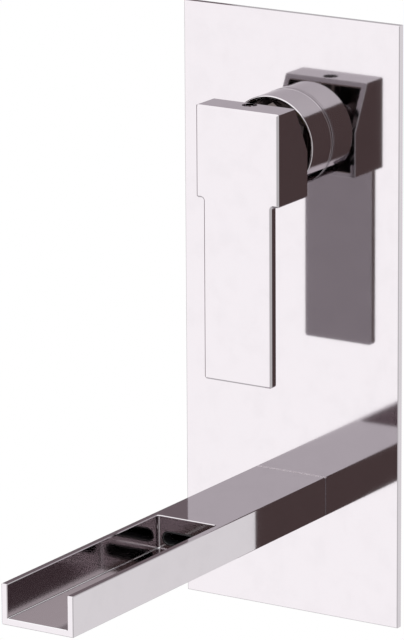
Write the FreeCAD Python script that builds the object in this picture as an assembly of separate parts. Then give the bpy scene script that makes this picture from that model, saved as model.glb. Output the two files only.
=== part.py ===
import FreeCAD, Part
import math
import os

# Wall-mounted waterfall basin mixer on one tall cover plate, in millimetres.
# Origin: centre of the cover plate's back face, on the finished wall.
# +Z is up, -Y points out of the wall to the user, +X is to the right seen from the front.
# What lies at y > 0 is set into the wall. Water passages are open all the way through.

os.makedirs("parts", exist_ok=True)

V = FreeCAD.Vector

# How far a cutting tool runs past a face, or a piece into the one that it is fused with
past = 1.0

# Cover plate
plate_width = 105.0
plate_height = 260.0
plate_thickness = 3.0
plate_bevel = 0.3
plate_rim = 4.0
seal_thickness = 1.5
seal_hole_margin = 1.0
lever_height = 77.3
spout_drop = 77.3

# Cartridge, counted from its axis outwards
cartridge_radius = 14.0
cartridge_fit = 0.1
housing_wall = 1.5
housing_roof = 2.0
shoulder_width = 2.1
collar_wall = 1.3
collar_height = 2.5
hub_clearance = 0.3
running_fit = 0.08
running_film = 0.02
rotor_length = 9.3
rotor_play = 0.1
rotor_proud = 0.3
pivot_depth = 3.0
pin_radius = 1.5
pin_end_cover = 0.9
eye_wall = 2.4
driver_thickness = 4.0
moving_disc_thickness = 3.5
fixed_disc_thickness = 3.5
cavity_depth = 2.0
disc_seal_proud = 0.3
base_step = 1.8
base_flange = 2.5
seal_groove_depth = 1.2
port_seal_inset = 0.4
port_seal_width = 1.1
ring_groove_width = 1.5
ring_depth = 1.0
ring_flat_share = 0.5
foot_peg_radius = 1.5
foot_peg_pitch = 10.5
foot_peg_length = 2.2
stop_tooth_angle = 24.0
stop_tooth_play = 1.0

# Ports through the ceramic discs: pitch radius, half width, half angle
inlet_port_pitch = 7.0
inlet_port_half_width = 2.0
inlet_port_half_angle = 14.0
outlet_port_pitch = 6.0
outlet_port_half_width = 2.4
outlet_port_half_angle = 20.0
hot_port_angle = 225.0
cold_port_angle = 315.0
outlet_port_angle = 90.0

# Lever travel
lift_angle = 25.0
turn_angle = 50.0

# Nut, neck and sleeve over the cartridge
thread_step = 2.0
thread_fit = 0.05
nut_thread_length = 8.0
nut_head_height = 3.3
nut_head_flats = 30.0
nut_head_gap = 0.5
nut_recess = 1.0
nut_swing = 0.8
nut_rounding = 1.2
shoulder_gap = 0.5
neck_wall = 3.0
neck_ring_depth = 1.4
neck_ring_back = 4.5
sleeve_fit = 0.3
sleeve_wall = 1.2
sleeve_reach = 16.3
sleeve_edge = 0.45
sleeve_lip = 0.15
bead_height = 0.2
bead_setoff = 1.25

# Lever: hollow head with a blade hanging from its front
head_width = 40.0
head_height = 39.4
head_reach = 42.7
head_gap = 2.9
head_slope = 26.4
head_wall = 2.4
blade_width = 33.0
blade_thickness = 4.0
blade_drop = 97.3
blade_corner = 1.2
lever_edge = 0.8
lever_back_edge = 0.3
stem_edge = 0.8
lever_hub_radius = 7.6
lever_hub_gap = 7.7
stem_width = 7.5
stem_fit = 0.05
stem_end_gap = 0.7
shank_width = 6.5
shank_taper = 1.5
slot_clearance = 0.3
tail_radius = 1.6
ball_radius = 2.2
arm_length = 8.0
lever_screw_radius = 2.0
lever_screw_length = 6.0
lever_screw_back = 10.3
lever_sink_radius = 3.2
lever_sink_depth = 1.2
lever_boss_radius = 4.0

# Mixer body in the wall
barrel_setback = 5.0
barrel_wall = 7.0
seat_wall = 3.0
passage_radius = 3.0
passage_wall = 2.0
outlet_radius = 4.2
back_wall = 3.0
inlet_span = 88.0
inlet_hex_flats = 27.0
inlet_hex_length = 14.0
arm_step = 1.0
half_inch_radius = 9.3
half_inch_depth = 14.0

# Outlet pipe and elbow
pipe_radius = 8.0
pipe_wall = 1.0
pipe_fit = 0.05
pipe_insert = 10.0
socket_wall = 2.5
body_socket_drop = 38.0
elbow_socket_rise = 26.0
elbow_setback = 9.0
elbow_radius = 14.0
elbow_bore_step = 1.0
lug_radius = 5.5
lug_spacing = 28.0
lug_height = 7.0

# Nipple that carries the spout
washer_thickness = 1.5
washer_width = 3.2
nipple_hex_flats = 24.0
nipple_hex_length = 4.5
nipple_thread_length = 11.0
nipple_thread_fit = 0.1
nipple_tail_length = 22.0
nipple_bore = 4.2
nipple_fit = 0.1
nipple_edge = 0.4
nipple_ring_depth = 1.2
nipple_ring_start = 6.0
nipple_ring_pitch = 4.5
lock_groove_depth = 1.3
lock_groove_width = 4.8
lock_groove_back = 17.0
nipple_hole_margin = 0.7

# Spout: a closed channel that opens into a trough
spout_width = 34.3
spout_height = 17.1
spout_reach = 193.3
spout_closed_length = 82.5
spout_wall = 2.85
spout_floor = 2.8
spout_edge = 0.3
trough_corner = 1.2
trough_cove = 0.5
socket_depth = 24.0
socket_roof = 1.95
outlet_wall = 3.0
outlet_height = 6.3
outlet_drop = 6.3
outlet_side = 2.0
liner_wall = 0.8
liner_length = 6.0
liner_fit = 0.05
spout_screw_radius = 2.0
spout_screw_length = 3.0
grub_fit = 0.05

# Bracket and its screws
bracket_sheet = 2.0
bracket_joggle = 4.0
bracket_strap_width = 40.0
bracket_ear_width = 70.0
bracket_ear_length = 18.0
bracket_end_margin = 6.0
bracket_corner = 3.0
wall_slot_radius = 2.75
wall_slot_length = 11.0
wall_slot_spacing = 48.0
screw_radius = 2.5
screw_length = 10.0
screw_head_radius = 4.75
screw_head_height = 2.8
screw_hole_fit = 0.25
screw_hole_rest = 1.0
screw_head_edge = 0.7
key_flats = 3.0
key_depth = 1.6

# Worked out along the depth, from the plate's front towards the wall
plate_front = -plate_thickness
sleeve_rim_y = plate_front - sleeve_reach
nut_front_y = sleeve_rim_y + nut_recess
nut_head_back_y = nut_front_y + nut_head_height
neck_rim_y = nut_head_back_y + nut_head_gap
shoulder_y = nut_head_back_y + nut_thread_length
collar_front_y = shoulder_y - collar_height
roof_y = shoulder_y + housing_roof
pivot_y = roof_y + pivot_depth
rotor_front_y = collar_front_y - rotor_proud
rotor_back_y = roof_y + rotor_length
driver_front_y = rotor_back_y + rotor_play
driver_back_y = driver_front_y + driver_thickness
moving_back_y = driver_back_y + moving_disc_thickness
fixed_front_y = moving_back_y + running_film
fixed_back_y = fixed_front_y + fixed_disc_thickness
platform_y = fixed_back_y + disc_seal_proud
flange_front_y = platform_y + base_step
seat_y = flange_front_y + base_flange
inlet_y = seat_y + seat_wall + passage_radius
outlet_y = inlet_y + passage_radius + passage_wall + outlet_radius
body_back_y = outlet_y + outlet_radius + back_wall
boss_radius = pipe_radius + pipe_fit + socket_wall
lug_back_y = outlet_y + boss_radius + slot_clearance

# Worked out from the cartridge's axis outwards
housing_bore = cartridge_radius - housing_wall
collar_outer = cartridge_radius - shoulder_width
collar_inner = collar_outer - collar_wall
nut_bore = collar_outer + nut_swing
nut_thread_radius = cartridge_radius + thread_step
neck_radius = nut_thread_radius + thread_fit + neck_wall
sleeve_bore = neck_radius + sleeve_fit
sleeve_radius = sleeve_bore + sleeve_wall
barrel_radius = cartridge_radius + cartridge_fit + barrel_wall
rotor_radius = housing_bore - running_fit
rotor_hub_radius = collar_inner - hub_clearance
lift = math.radians(lift_angle)
disc_travel = arm_length * math.sin(lift)
disc_radius = housing_bore - disc_travel / 2 - hub_clearance
disc_flat = disc_radius - housing_wall
rail_inner = disc_flat + hub_clearance

# Worked out for the lever and the spout
spout_z = -spout_drop
head_front_y = plate_front - head_reach
head_back_y = sleeve_rim_y - head_gap
head_inner_y = head_front_y + blade_thickness
lever_hub_back_y = sleeve_rim_y - lever_hub_gap
stem_tip_y = head_inner_y + stem_end_gap
stem_square_back_y = nut_front_y - shank_taper
lever_screw_y = head_front_y + lever_screw_back
tail_r = spout_height / 2 - socket_roof - nipple_fit
nipple_back_y = elbow_setback + nipple_thread_length
hex_back_y = elbow_setback - washer_thickness
hex_front_y = hex_back_y - nipple_hex_length
spout_front_y = plate_front - spout_reach
trough_back_y = plate_front - spout_closed_length
spout_top = spout_z + spout_height / 2
spout_bottom = spout_z - spout_height / 2
trough_width = spout_width - 2 * spout_wall
trough_floor = spout_bottom + spout_floor
slot_z = spout_top - outlet_drop - outlet_height / 2
slot_width = trough_width - 2 * outlet_side


def block(x0, x1, y0, y1, z0, z1):
    """A block between two corners."""
    return Part.makeBox(x1 - x0, y1 - y0, z1 - z0, V(x0, y0, z0))


def rod_x(radius, x0, x1, y, z):
    return Part.makeCylinder(radius, x1 - x0, V(x0, y, z), V(1, 0, 0))


def rod_y(radius, y0, y1, z, x=0.0):
    return Part.makeCylinder(radius, y1 - y0, V(x, y0, z), V(0, 1, 0))


def rod_z(radius, z0, z1, y, x=0.0):
    return Part.makeCylinder(radius, z1 - z0, V(x, y, z0), V(0, 0, 1))


def turned_y(profile, z, x=0.0):
    """A turned piece: (radius, y) corners swung round an axis along Y."""
    corners = [V(x + radius, y, z) for radius, y in profile]
    face = Part.Face(Part.makePolygon(corners + corners[:1]))
    return face.revolve(V(x, 0, z), V(0, 1, 0), 360)


def side_profile(corners, width):
    """A plate-like piece: (y, z) corners drawn out to both sides of x = 0."""
    points = [V(-width / 2, y, z) for y, z in corners]
    face = Part.Face(Part.makePolygon(points + points[:1]))
    return face.extrude(V(width, 0, 0))


def hexagon(flats, start, along, turn=0.0):
    """A hexagonal bar from start, drawn out by the vector along."""
    corner = flats / math.sqrt(3)
    axis = V(along).normalize()
    side = V(0, 0, 1) if abs(axis.z) < 0.5 else V(1, 0, 0)
    other = axis.cross(side)
    points = []
    for i in range(6):
        angle = math.radians(60 * i + turn)
        points.append(start + side * (corner * math.cos(angle)) + other * (corner * math.sin(angle)))
    face = Part.Face(Part.makePolygon(points + points[:1]))
    return face.extrude(along)


def stadium_y(width, height, y0, y1, z, x=0.0):
    """A bar with straight top and bottom and round ends, along Y."""
    radius = height / 2
    reach = width / 2 - radius
    right_low, right_high = V(x + reach, y0, z - radius), V(x + reach, y0, z + radius)
    left_low, left_high = V(x - reach, y0, z - radius), V(x - reach, y0, z + radius)
    right = Part.Arc(right_low, V(x + reach + radius, y0, z), right_high)
    left = Part.Arc(left_high, V(x - reach - radius, y0, z), left_low)
    top = Part.LineSegment(right_high, left_high)
    bottom = Part.LineSegment(left_low, right_low)
    wire = Part.Wire([right.toShape(), top.toShape(), left.toShape(), bottom.toShape()])
    return Part.Face(wire).extrude(V(0, y1 - y0, 0))


def kidney(pitch, half_width, middle, half_angle, grow, y0, y1):
    """A kidney-shaped port round the cartridge axis, its outline moved out by grow."""
    half = half_width + grow

    def at(radius, degrees):
        angle = math.radians(degrees)
        return V(radius * math.cos(angle), y0, lever_height + radius * math.sin(angle))

    def cap_tip(degrees, sign):
        angle = math.radians(degrees)
        centre = at(pitch, degrees)
        return centre + V(-math.sin(angle), 0, math.cos(angle)) * (half * sign)

    low = middle - half_angle
    high = middle + half_angle
    outer = Part.Arc(at(pitch + half, low), at(pitch + half, middle), at(pitch + half, high))
    far_cap = Part.Arc(at(pitch + half, high), cap_tip(high, 1), at(pitch - half, high))
    inner = Part.Arc(at(pitch - half, high), at(pitch - half, middle), at(pitch - half, low))
    near_cap = Part.Arc(at(pitch - half, low), cap_tip(low, -1), at(pitch + half, low))
    wire = Part.Wire([arc.toShape() for arc in (outer, far_cap, inner, near_cap)])
    return Part.Face(wire).extrude(V(0, y1 - y0, 0))


def port(name, grow, y0, y1):
    """One of the cartridge's three ports, by name."""
    if name == "outlet":
        return kidney(outlet_port_pitch, outlet_port_half_width, outlet_port_angle,
                      outlet_port_half_angle, grow, y0, y1)
    angle = hot_port_angle if name == "hot" else cold_port_angle
    return kidney(inlet_port_pitch, inlet_port_half_width, angle, inlet_port_half_angle, grow, y0, y1)


def all_ports(grow, y0, y1):
    return [port(name, grow, y0, y1) for name in ("hot", "cold", "outlet")]


def port_seals(y0, y1):
    """Three rubber rings, one round each port."""
    rings = []
    for name in ("hot", "cold", "outlet"):
        outer = port(name, port_seal_inset + port_seal_width, y0, y1)
        inner = port(name, port_seal_inset, y0 - past, y1 + past)
        rings.append(outer.cut(inner))
    return Part.makeCompound(rings)


def rubber_ring(bottom, top, y, z):
    """An O-ring squeezed flat between a groove's bottom and a bore, both given as radii."""
    half = (top - bottom) / 2 - running_film
    flat = half * ring_flat_share
    middle = (top + bottom) / 2
    return turned_y([
        (middle - half, y - flat),
        (middle, y - half),
        (middle + half, y - flat),
        (middle + half, y + flat),
        (middle, y + half),
        (middle - half, y + flat),
    ], z)


def pick_edges(shape, test):
    """The shape's edges whose middle and both ends pass the test."""
    chosen = []
    for edge in shape.Edges:
        points = [edge.valueAt(edge.FirstParameter), edge.valueAt(edge.LastParameter)]
        points.append(edge.valueAt((edge.FirstParameter + edge.LastParameter) / 2))
        if all(test(point) for point in points):
            chosen.append(edge)
    return chosen


def near(a, b):
    return abs(a - b) < 0.01


def save(name, shape):
    """Writes one piece, or one group of like pieces, as parts/NAME.step."""
    shape.exportStep("parts/" + name + ".step")


# ---- Cover plate and its seal ----

def cover_plate():
    half_w = plate_width / 2
    half_h = plate_height / 2
    plate = block(-half_w, half_w, plate_front, 0, -half_h, half_h)
    plate = plate.makeChamfer(plate_bevel, pick_edges(plate, lambda p: near(p.y, plate_front)))
    rebate = block(plate_rim - half_w, half_w - plate_rim, -seal_thickness, past,
                   plate_rim - half_h, half_h - plate_rim)
    neck_hole = rod_y(sleeve_bore, plate_front - past, past, lever_height)
    nipple_hole = rod_y(tail_r + nipple_hole_margin, plate_front - past, past, spout_z)
    return plate.cut([rebate, neck_hole, nipple_hole])


def plate_seal():
    """Foam sheet that lies in the plate's rebate, flush with its rim."""
    half_w = plate_width / 2 - plate_rim
    half_h = plate_height / 2 - plate_rim
    sheet = block(-half_w, half_w, -seal_thickness, 0, -half_h, half_h)
    hole_front_y = -seal_thickness - past
    neck_hole = rod_y(sleeve_bore + seal_hole_margin, hole_front_y, past, lever_height)
    nipple_hole = rod_y(tail_r + nipple_hole_margin + seal_hole_margin, hole_front_y, past, spout_z)
    return sheet.cut([neck_hole, nipple_hole])


# ---- Sleeve, nut and cartridge ----

def sleeve():
    """Thin tube: its rim runs out to a narrow lip, and a fine bead stands round its foot."""
    lip_outer = sleeve_radius - sleeve_edge
    lip_inner = lip_outer - sleeve_lip
    bead_y = plate_front - bead_setoff
    profile = [
        (sleeve_bore, plate_front),
        (sleeve_bore, sleeve_rim_y + lip_inner - sleeve_bore),
        (lip_inner, sleeve_rim_y),
        (lip_outer, sleeve_rim_y),
        (sleeve_radius, sleeve_rim_y + sleeve_edge),
        (sleeve_radius, bead_y - 2 * bead_height),
        (sleeve_radius + bead_height, bead_y - bead_height),
        (sleeve_radius + bead_height, bead_y + bead_height),
        (sleeve_radius, bead_y + 2 * bead_height),
        (sleeve_radius, plate_front),
    ]
    return turned_y(profile, lever_height)


def sleeve_o_ring():
    bottom = neck_radius - neck_ring_depth
    return rubber_ring(bottom, sleeve_bore, neck_rim_y + neck_ring_back, lever_height)


def retaining_nut():
    """Ring nut: threaded skirt behind, hexagon in front, open for the swinging stem."""
    skirt = rod_y(nut_thread_radius, nut_head_back_y, shoulder_y, lever_height)
    head = hexagon(nut_head_flats, V(0, nut_front_y, lever_height), V(0, nut_head_height, 0))
    rounding = turned_y([
        (0, nut_front_y),
        (nut_head_flats / 2, nut_front_y),
        (nut_head_flats / math.sqrt(3), nut_front_y + nut_rounding),
        (nut_head_flats / math.sqrt(3), nut_head_back_y),
        (0, nut_head_back_y),
    ], lever_height)
    bore = rod_y(nut_bore, nut_front_y - past, shoulder_y + past, lever_height)
    return head.common(rounding).fuse(skirt).cut(bore).removeSplitter()


def stop_sector(inner, outer, half_angle, y0, y1):
    """A ring sector centred straight below the cartridge axis."""
    start = math.radians(-90 - half_angle)
    profile = [V(inner, y0, 0), V(outer, y0, 0), V(outer, y1, 0), V(inner, y1, 0)]
    face = Part.Face(Part.makePolygon(profile + profile[:1]))
    face.rotate(V(0, 0, 0), V(0, -1, 0), math.degrees(start))
    sector = face.revolve(V(0, 0, 0), V(0, -1, 0), 2 * half_angle)
    sector.translate(V(0, 0, lever_height))
    return sector


def cartridge_housing():
    """Cup with a shoulder that the nut presses on and a collar with the turn stops."""
    cup = turned_y([
        (collar_inner, collar_front_y),
        (collar_outer, collar_front_y),
        (collar_outer, shoulder_y),
        (cartridge_radius, shoulder_y),
        (cartridge_radius, flange_front_y),
        (housing_bore, flange_front_y),
        (housing_bore, roof_y),
        (collar_inner, roof_y),
    ], lever_height)
    half_window = turn_angle + (stop_tooth_angle + stop_tooth_play) / 2
    window = stop_sector(collar_inner - past, collar_outer + past, half_window,
                         collar_front_y - past, shoulder_y)
    return cup.cut(window)


def rotor():
    """Turning carrier: hub in the collar, flange in the housing, two rails beside the driver."""
    flange = rod_y(rotor_radius, roof_y + rotor_play, rotor_back_y, lever_height)
    hub = rod_y(rotor_hub_radius, rotor_front_y, roof_y + 2 * rotor_play, lever_height)
    tooth = stop_sector(rotor_hub_radius - past, collar_outer - hub_clearance, stop_tooth_angle / 2,
                        rotor_front_y, shoulder_y - rotor_play)
    rails_y = driver_back_y - rotor_play
    rails = rod_y(rotor_radius, rotor_back_y - past, rails_y, lever_height)
    rails = rails.cut(block(-rail_inner, rail_inner, rotor_back_y - 2 * past, rails_y + past,
                            lever_height - rotor_radius - past, lever_height + rotor_radius + past))
    solid = flange.fuse([hub, tooth, rails]).removeSplitter()

    front = pivot_y - rotor_front_y
    eye = pin_radius + eye_wall + slot_clearance
    half = shank_width / 2
    low_front = -half - slot_clearance
    high_front = front * math.tan(lift) + half / math.cos(lift) + slot_clearance
    low_back = -disc_travel - ball_radius - slot_clearance
    high_back = ball_radius + slot_clearance
    corners = [(rotor_front_y - past, low_front), (pivot_y, -eye), (rotor_back_y + past, low_back),
               (rotor_back_y + past, high_back), (pivot_y, eye), (rotor_front_y, high_front),
               (rotor_front_y - past, high_front)]
    slot = side_profile([(y, lever_height + z) for y, z in corners], shank_width + 2 * slot_clearance)
    pin_hole = rod_x(pin_radius + running_film, -pin_reach(), pin_reach(), pivot_y, lever_height)
    groove = turned_y([
        (rotor_radius - ring_depth, ring_y() - ring_groove_width / 2),
        (rotor_radius + past, ring_y() - ring_groove_width / 2),
        (rotor_radius + past, ring_y() + ring_groove_width / 2),
        (rotor_radius - ring_depth, ring_y() + ring_groove_width / 2),
    ], lever_height)
    return solid.cut([slot, pin_hole, groove])


def pin_reach():
    return rotor_radius - pin_end_cover


def ring_y():
    """Middle of the rotor's rubber ring, between the pin and the rotor's back."""
    return (pivot_y + pin_radius + rotor_back_y) / 2


def rotor_o_ring():
    return rubber_ring(rotor_radius - ring_depth, housing_bore, ring_y(), lever_height)


def pivot_pin():
    return rod_x(pin_radius, -pin_reach(), pin_reach(), pivot_y, lever_height)


def stem():
    """Square at the lever, flat shank in the rotor, eye on the pin, ball in the driver."""
    square = block(-stem_width / 2, stem_width / 2, stem_tip_y, stem_square_back_y,
                   lever_height - stem_width / 2, lever_height + stem_width / 2)
    tip_edges = pick_edges(square, lambda p: near(p.y, stem_tip_y))
    square = square.makeChamfer(stem_edge, tip_edges)

    def outline(width, y):
        half = width / 2
        ring = [V(-half, y, lever_height - half), V(half, y, lever_height - half),
                V(half, y, lever_height + half), V(-half, y, lever_height + half)]
        return Part.makePolygon(ring + ring[:1])

    taper = Part.makeLoft([outline(stem_width, stem_square_back_y),
                           outline(shank_width, stem_square_back_y + shank_taper)], True, True)
    shank = block(-shank_width / 2, shank_width / 2, stem_square_back_y + shank_taper, pivot_y,
                  lever_height - shank_width / 2, lever_height + shank_width / 2)
    eye = rod_x(pin_radius + eye_wall, -shank_width / 2, shank_width / 2, pivot_y, lever_height)
    tail = rod_y(tail_radius, pivot_y + pin_radius, pivot_y + arm_length, lever_height)
    ball = Part.makeSphere(ball_radius, V(0, pivot_y + arm_length, lever_height))
    hole = rod_x(pin_radius + thread_fit, -shank_width, shank_width, pivot_y, lever_height)
    return square.fuse([taper, shank, eye, tail, ball]).cut(hole).removeSplitter()


def slider(y0, y1):
    """The outline shared by the driver and the moving disc, in its place with the tap shut."""
    middle = lever_height + disc_travel / 2
    disc = rod_y(disc_radius, y0, y1, middle)
    return disc.common(block(-disc_flat, disc_flat, y0, y1, middle - disc_radius, middle + disc_radius))


def drive_pegs(radius, y0, y1):
    reach = disc_radius / 2
    middle = lever_height + disc_travel / 2
    return [rod_y(radius, y0, y1, middle + reach, x) for x in (-reach, reach)]


def disc_driver():
    plate = slider(driver_front_y, driver_back_y)
    socket = rod_y(ball_radius + slot_clearance, driver_front_y - past, driver_back_y + past, lever_height)
    peg_end = driver_back_y + moving_disc_thickness - cavity_depth
    pegs = drive_pegs(pin_radius, driver_back_y - past, peg_end)
    return plate.fuse(pegs).cut(socket).removeSplitter()


def moving_disc():
    """Upper ceramic disc: its blind cavity joins the outlet to the two inlets when it slides down."""
    disc = slider(driver_back_y, moving_back_y)
    cavity_front = moving_back_y - cavity_depth
    cavity_radius = inlet_port_pitch - inlet_port_half_width - slot_clearance
    cavity_top = outlet_port_pitch + outlet_port_half_width
    cavity_half = outlet_port_pitch * math.cos(math.radians(outlet_port_half_angle))
    centre = rod_y(cavity_radius, cavity_front, moving_back_y + past, lever_height)
    window = block(-cavity_half, cavity_half, cavity_front, moving_back_y + past,
                   lever_height + cavity_radius / 2, lever_height + cavity_top)
    peg_holes = drive_pegs(pin_radius + running_film, driver_back_y - past, cavity_front)
    return disc.cut([centre, window] + peg_holes)


def fixed_disc():
    disc = rod_y(rotor_radius, fixed_front_y, fixed_back_y, lever_height)
    return disc.cut(all_ports(0, fixed_front_y - past, fixed_back_y + past))


def disc_seals():
    return port_seals(fixed_back_y, platform_y + seal_groove_depth)


def base_seals():
    return port_seals(seat_y - seal_groove_depth, seat_y)


def foot_pegs(radius, length):
    """Two pegs that keep the cartridge from turning in the body."""
    return [rod_y(radius, seat_y - foot_peg_length / 2, seat_y + length, lever_height, x)
            for x in (-foot_peg_pitch, foot_peg_pitch)]


def cartridge_base():
    """Foot of the cartridge: carries the fixed disc and closes the housing."""
    step = rod_y(rotor_radius, platform_y, flange_front_y, lever_height)
    flange = rod_y(cartridge_radius, flange_front_y, seat_y, lever_height)
    foot = step.fuse([flange] + foot_pegs(foot_peg_radius, foot_peg_length)).removeSplitter()
    tools = all_ports(0, platform_y - past, seat_y + past)
    grow = port_seal_inset + port_seal_width
    for name in ("hot", "cold", "outlet"):
        for middle in (platform_y, seat_y):
            y0 = middle - seal_groove_depth
            y1 = middle + seal_groove_depth
            tools.append(port(name, grow, y0, y1).cut(port(name, port_seal_inset, y0 - past, y1 + past)))
    return foot.cut(tools)


# ---- Lever ----

def silhouette(corners, y0, depth):
    """A slab seen from the front: (x, z) corners drawn out along Y."""
    points = [V(x, y0, z) for x, z in corners]
    face = Part.Face(Part.makePolygon(points + points[:1]))
    return face.extrude(V(0, depth, 0))


def lever_slab(top, bottom):
    """Front of the lever: the head's face and the blade below it, in one plane."""
    half_head = head_width / 2
    half_blade = blade_width / 2
    tip = lever_height - blade_drop
    slab = silhouette([
        (-half_head, top), (half_head, top), (half_head, bottom), (half_blade, bottom),
        (half_blade, tip), (-half_blade, tip), (-half_blade, bottom), (-half_head, bottom),
    ], head_front_y, blade_thickness)
    slab = slab.makeFillet(blade_corner, pick_edges(slab, lambda p: near(abs(p.x), half_blade)
                                                    and (near(p.z, tip) or near(p.z, bottom))))
    head_ends = pick_edges(slab, lambda p: near(abs(p.x), half_head))
    head_ends = [edge for edge in head_ends if near(edge.Length, blade_thickness)]
    slab = slab.makeFillet(lever_edge, head_ends)
    slab = slab.makeChamfer(lever_edge, pick_edges(slab, lambda p: near(p.y, head_front_y)))
    return slab.makeChamfer(lever_back_edge, pick_edges(slab, lambda p: near(p.y, head_inner_y)))


def lever_block(top, bottom):
    """Body of the head behind the slab: its back leans forward above the axis, to clear the sleeve."""
    back_top_y = head_back_y - head_height / 2 * math.tan(math.radians(head_slope))
    front_y = head_inner_y - blade_thickness / 4
    body = side_profile([(front_y, bottom), (front_y, top), (back_top_y, top),
                         (head_back_y, lever_height), (head_back_y, bottom)], head_width)
    body = body.makeFillet(lever_edge, pick_edges(body, lambda p: near(abs(p.x), head_width / 2)
                                                  and (near(p.z, top) or near(p.z, bottom))))
    return body.makeChamfer(lever_back_edge, pick_edges(body, lambda p: p.y > back_top_y - 0.01))


def lever_handle():
    """Hollow head with hub and screw boss inside, the blade flush with its front."""
    top = lever_height + head_height / 2
    bottom = lever_height - head_height / 2
    outer = lever_slab(top, bottom).fuse(lever_block(top, bottom)).removeSplitter()
    inner_half = head_height / 2 - head_wall
    hollow = block(head_wall - head_width / 2, head_width / 2 - head_wall, head_inner_y, head_back_y + past,
                   lever_height - inner_half, lever_height + inner_half)
    hub = rod_y(lever_hub_radius, head_inner_y - past, lever_hub_back_y, lever_height)
    boss = rod_z(lever_boss_radius, lever_height, top - head_wall / 2, lever_screw_y)
    half = stem_width / 2 + stem_fit
    socket = block(-half, half, stem_tip_y - stem_end_gap / 2, lever_hub_back_y + past,
                   lever_height - half, lever_height + half)
    screw_hole = rod_z(lever_screw_radius + grub_fit, lever_height, top + past, lever_screw_y)
    sink = rod_z(lever_sink_radius, top - lever_sink_depth, top + past, lever_screw_y)
    return outer.cut(hollow).fuse([hub, boss]).cut([socket, screw_hole, sink]).removeSplitter()


def grub_screw(radius, tip, length, direction):
    """Socket grub screw: its tip is given, and it runs from there along Z, up or down."""
    low = tip if direction > 0 else tip - length
    body = Part.makeCylinder(radius, length, V(0, 0, low), V(0, 0, 1))
    key_start = low + length if direction > 0 else low
    key = hexagon(radius, V(0, 0, key_start), V(0, 0, -direction * radius))
    return body.cut(key)


def lever_grub_screw():
    screw = grub_screw(lever_screw_radius, lever_height + stem_width / 2, lever_screw_length, 1)
    screw.translate(V(0, lever_screw_y, 0))
    return screw


# ---- Brass work in the wall ----

def mixer_body():
    """Casting: cartridge chamber and neck, hot arm left, cold arm right, outlet socket below."""
    barrel = rod_y(barrel_radius, barrel_setback, body_back_y, lever_height)
    neck = rod_y(neck_radius, neck_rim_y, barrel_setback + past, lever_height)
    arm_reach = inlet_span / 2 - inlet_hex_length
    arms = rod_x(inlet_hex_flats / 2 - arm_step, -arm_reach, arm_reach, inlet_y, lever_height)
    outer = [neck, arms]
    inner = []
    for side, name in ((-1, "hot"), (1, "cold")):
        start = V(side * arm_reach, inlet_y, lever_height)
        outer.append(hexagon(inlet_hex_flats, start, V(side * inlet_hex_length, 0, 0)))
        lug = rod_y(lug_radius, body_back_y - past, lug_back_y, lever_height, side * lug_spacing / 2)
        outer.append(lug)
        end = side * inlet_span / 2
        inner.append(rod_x(half_inch_radius, min(end, end - side * half_inch_depth) - (side < 0),
                           max(end, end - side * half_inch_depth) + (side > 0), inlet_y, lever_height))
        port_x = inlet_port_pitch * math.cos(math.radians(hot_port_angle))
        port_z = lever_height + inlet_port_pitch * math.sin(math.radians(hot_port_angle))
        near_x = -side * port_x - side * inlet_port_half_width
        far_x = end - side
        inner.append(rod_x(passage_radius, min(near_x, far_x), max(near_x, far_x), inlet_y, port_z))
        inner.append(port(name, 0, seat_y - past, inlet_y))
        inner.append(screw_bore(side * lug_spacing / 2, lever_height))
    socket_end = lever_height - body_socket_drop
    outer.append(rod_z(boss_radius, socket_end, lever_height, outlet_y))
    inner.append(port("outlet", 0, seat_y - past, outlet_y))
    inner.append(rod_z(outlet_radius, socket_end, lever_height + outlet_port_pitch, outlet_y))
    inner.append(rod_z(pipe_radius + pipe_fit, socket_end - past, socket_end + pipe_insert, outlet_y))
    chamber = rod_y(cartridge_radius + cartridge_fit, neck_rim_y - past, seat_y, lever_height)
    mouth_end = shoulder_y + shoulder_gap
    mouth = rod_y(nut_thread_radius + thread_fit, neck_rim_y - past, mouth_end, lever_height)
    half_ring = neck_ring_depth / 2 + running_fit
    middle = neck_rim_y + neck_ring_back
    groove = turned_y([
        (neck_radius - neck_ring_depth, middle - half_ring - sleeve_fit),
        (neck_radius + past, middle - half_ring - sleeve_fit),
        (neck_radius + past, middle + half_ring + sleeve_fit),
        (neck_radius - neck_ring_depth, middle + half_ring + sleeve_fit),
    ], lever_height)
    inner += foot_pegs(foot_peg_radius + cartridge_fit, foot_peg_length + hub_clearance)
    return barrel.fuse(outer).cut(inner + [chamber, mouth, groove]).removeSplitter()


def screw_bore(x, z):
    """Blind hole for one bracket screw, from a lug's face."""
    depth = screw_length - bracket_sheet + screw_hole_rest
    return rod_y(screw_radius + thread_fit, lug_back_y - depth, lug_back_y + past, z, x)


def outlet_pipe():
    """Tube brazed between the two sockets."""
    low = spout_z + elbow_socket_rise - pipe_insert
    high = lever_height - body_socket_drop + pipe_insert
    tube = rod_z(pipe_radius, low, high, outlet_y)
    return tube.cut(rod_z(pipe_radius - pipe_wall, low - past, high + past, outlet_y))


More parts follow.
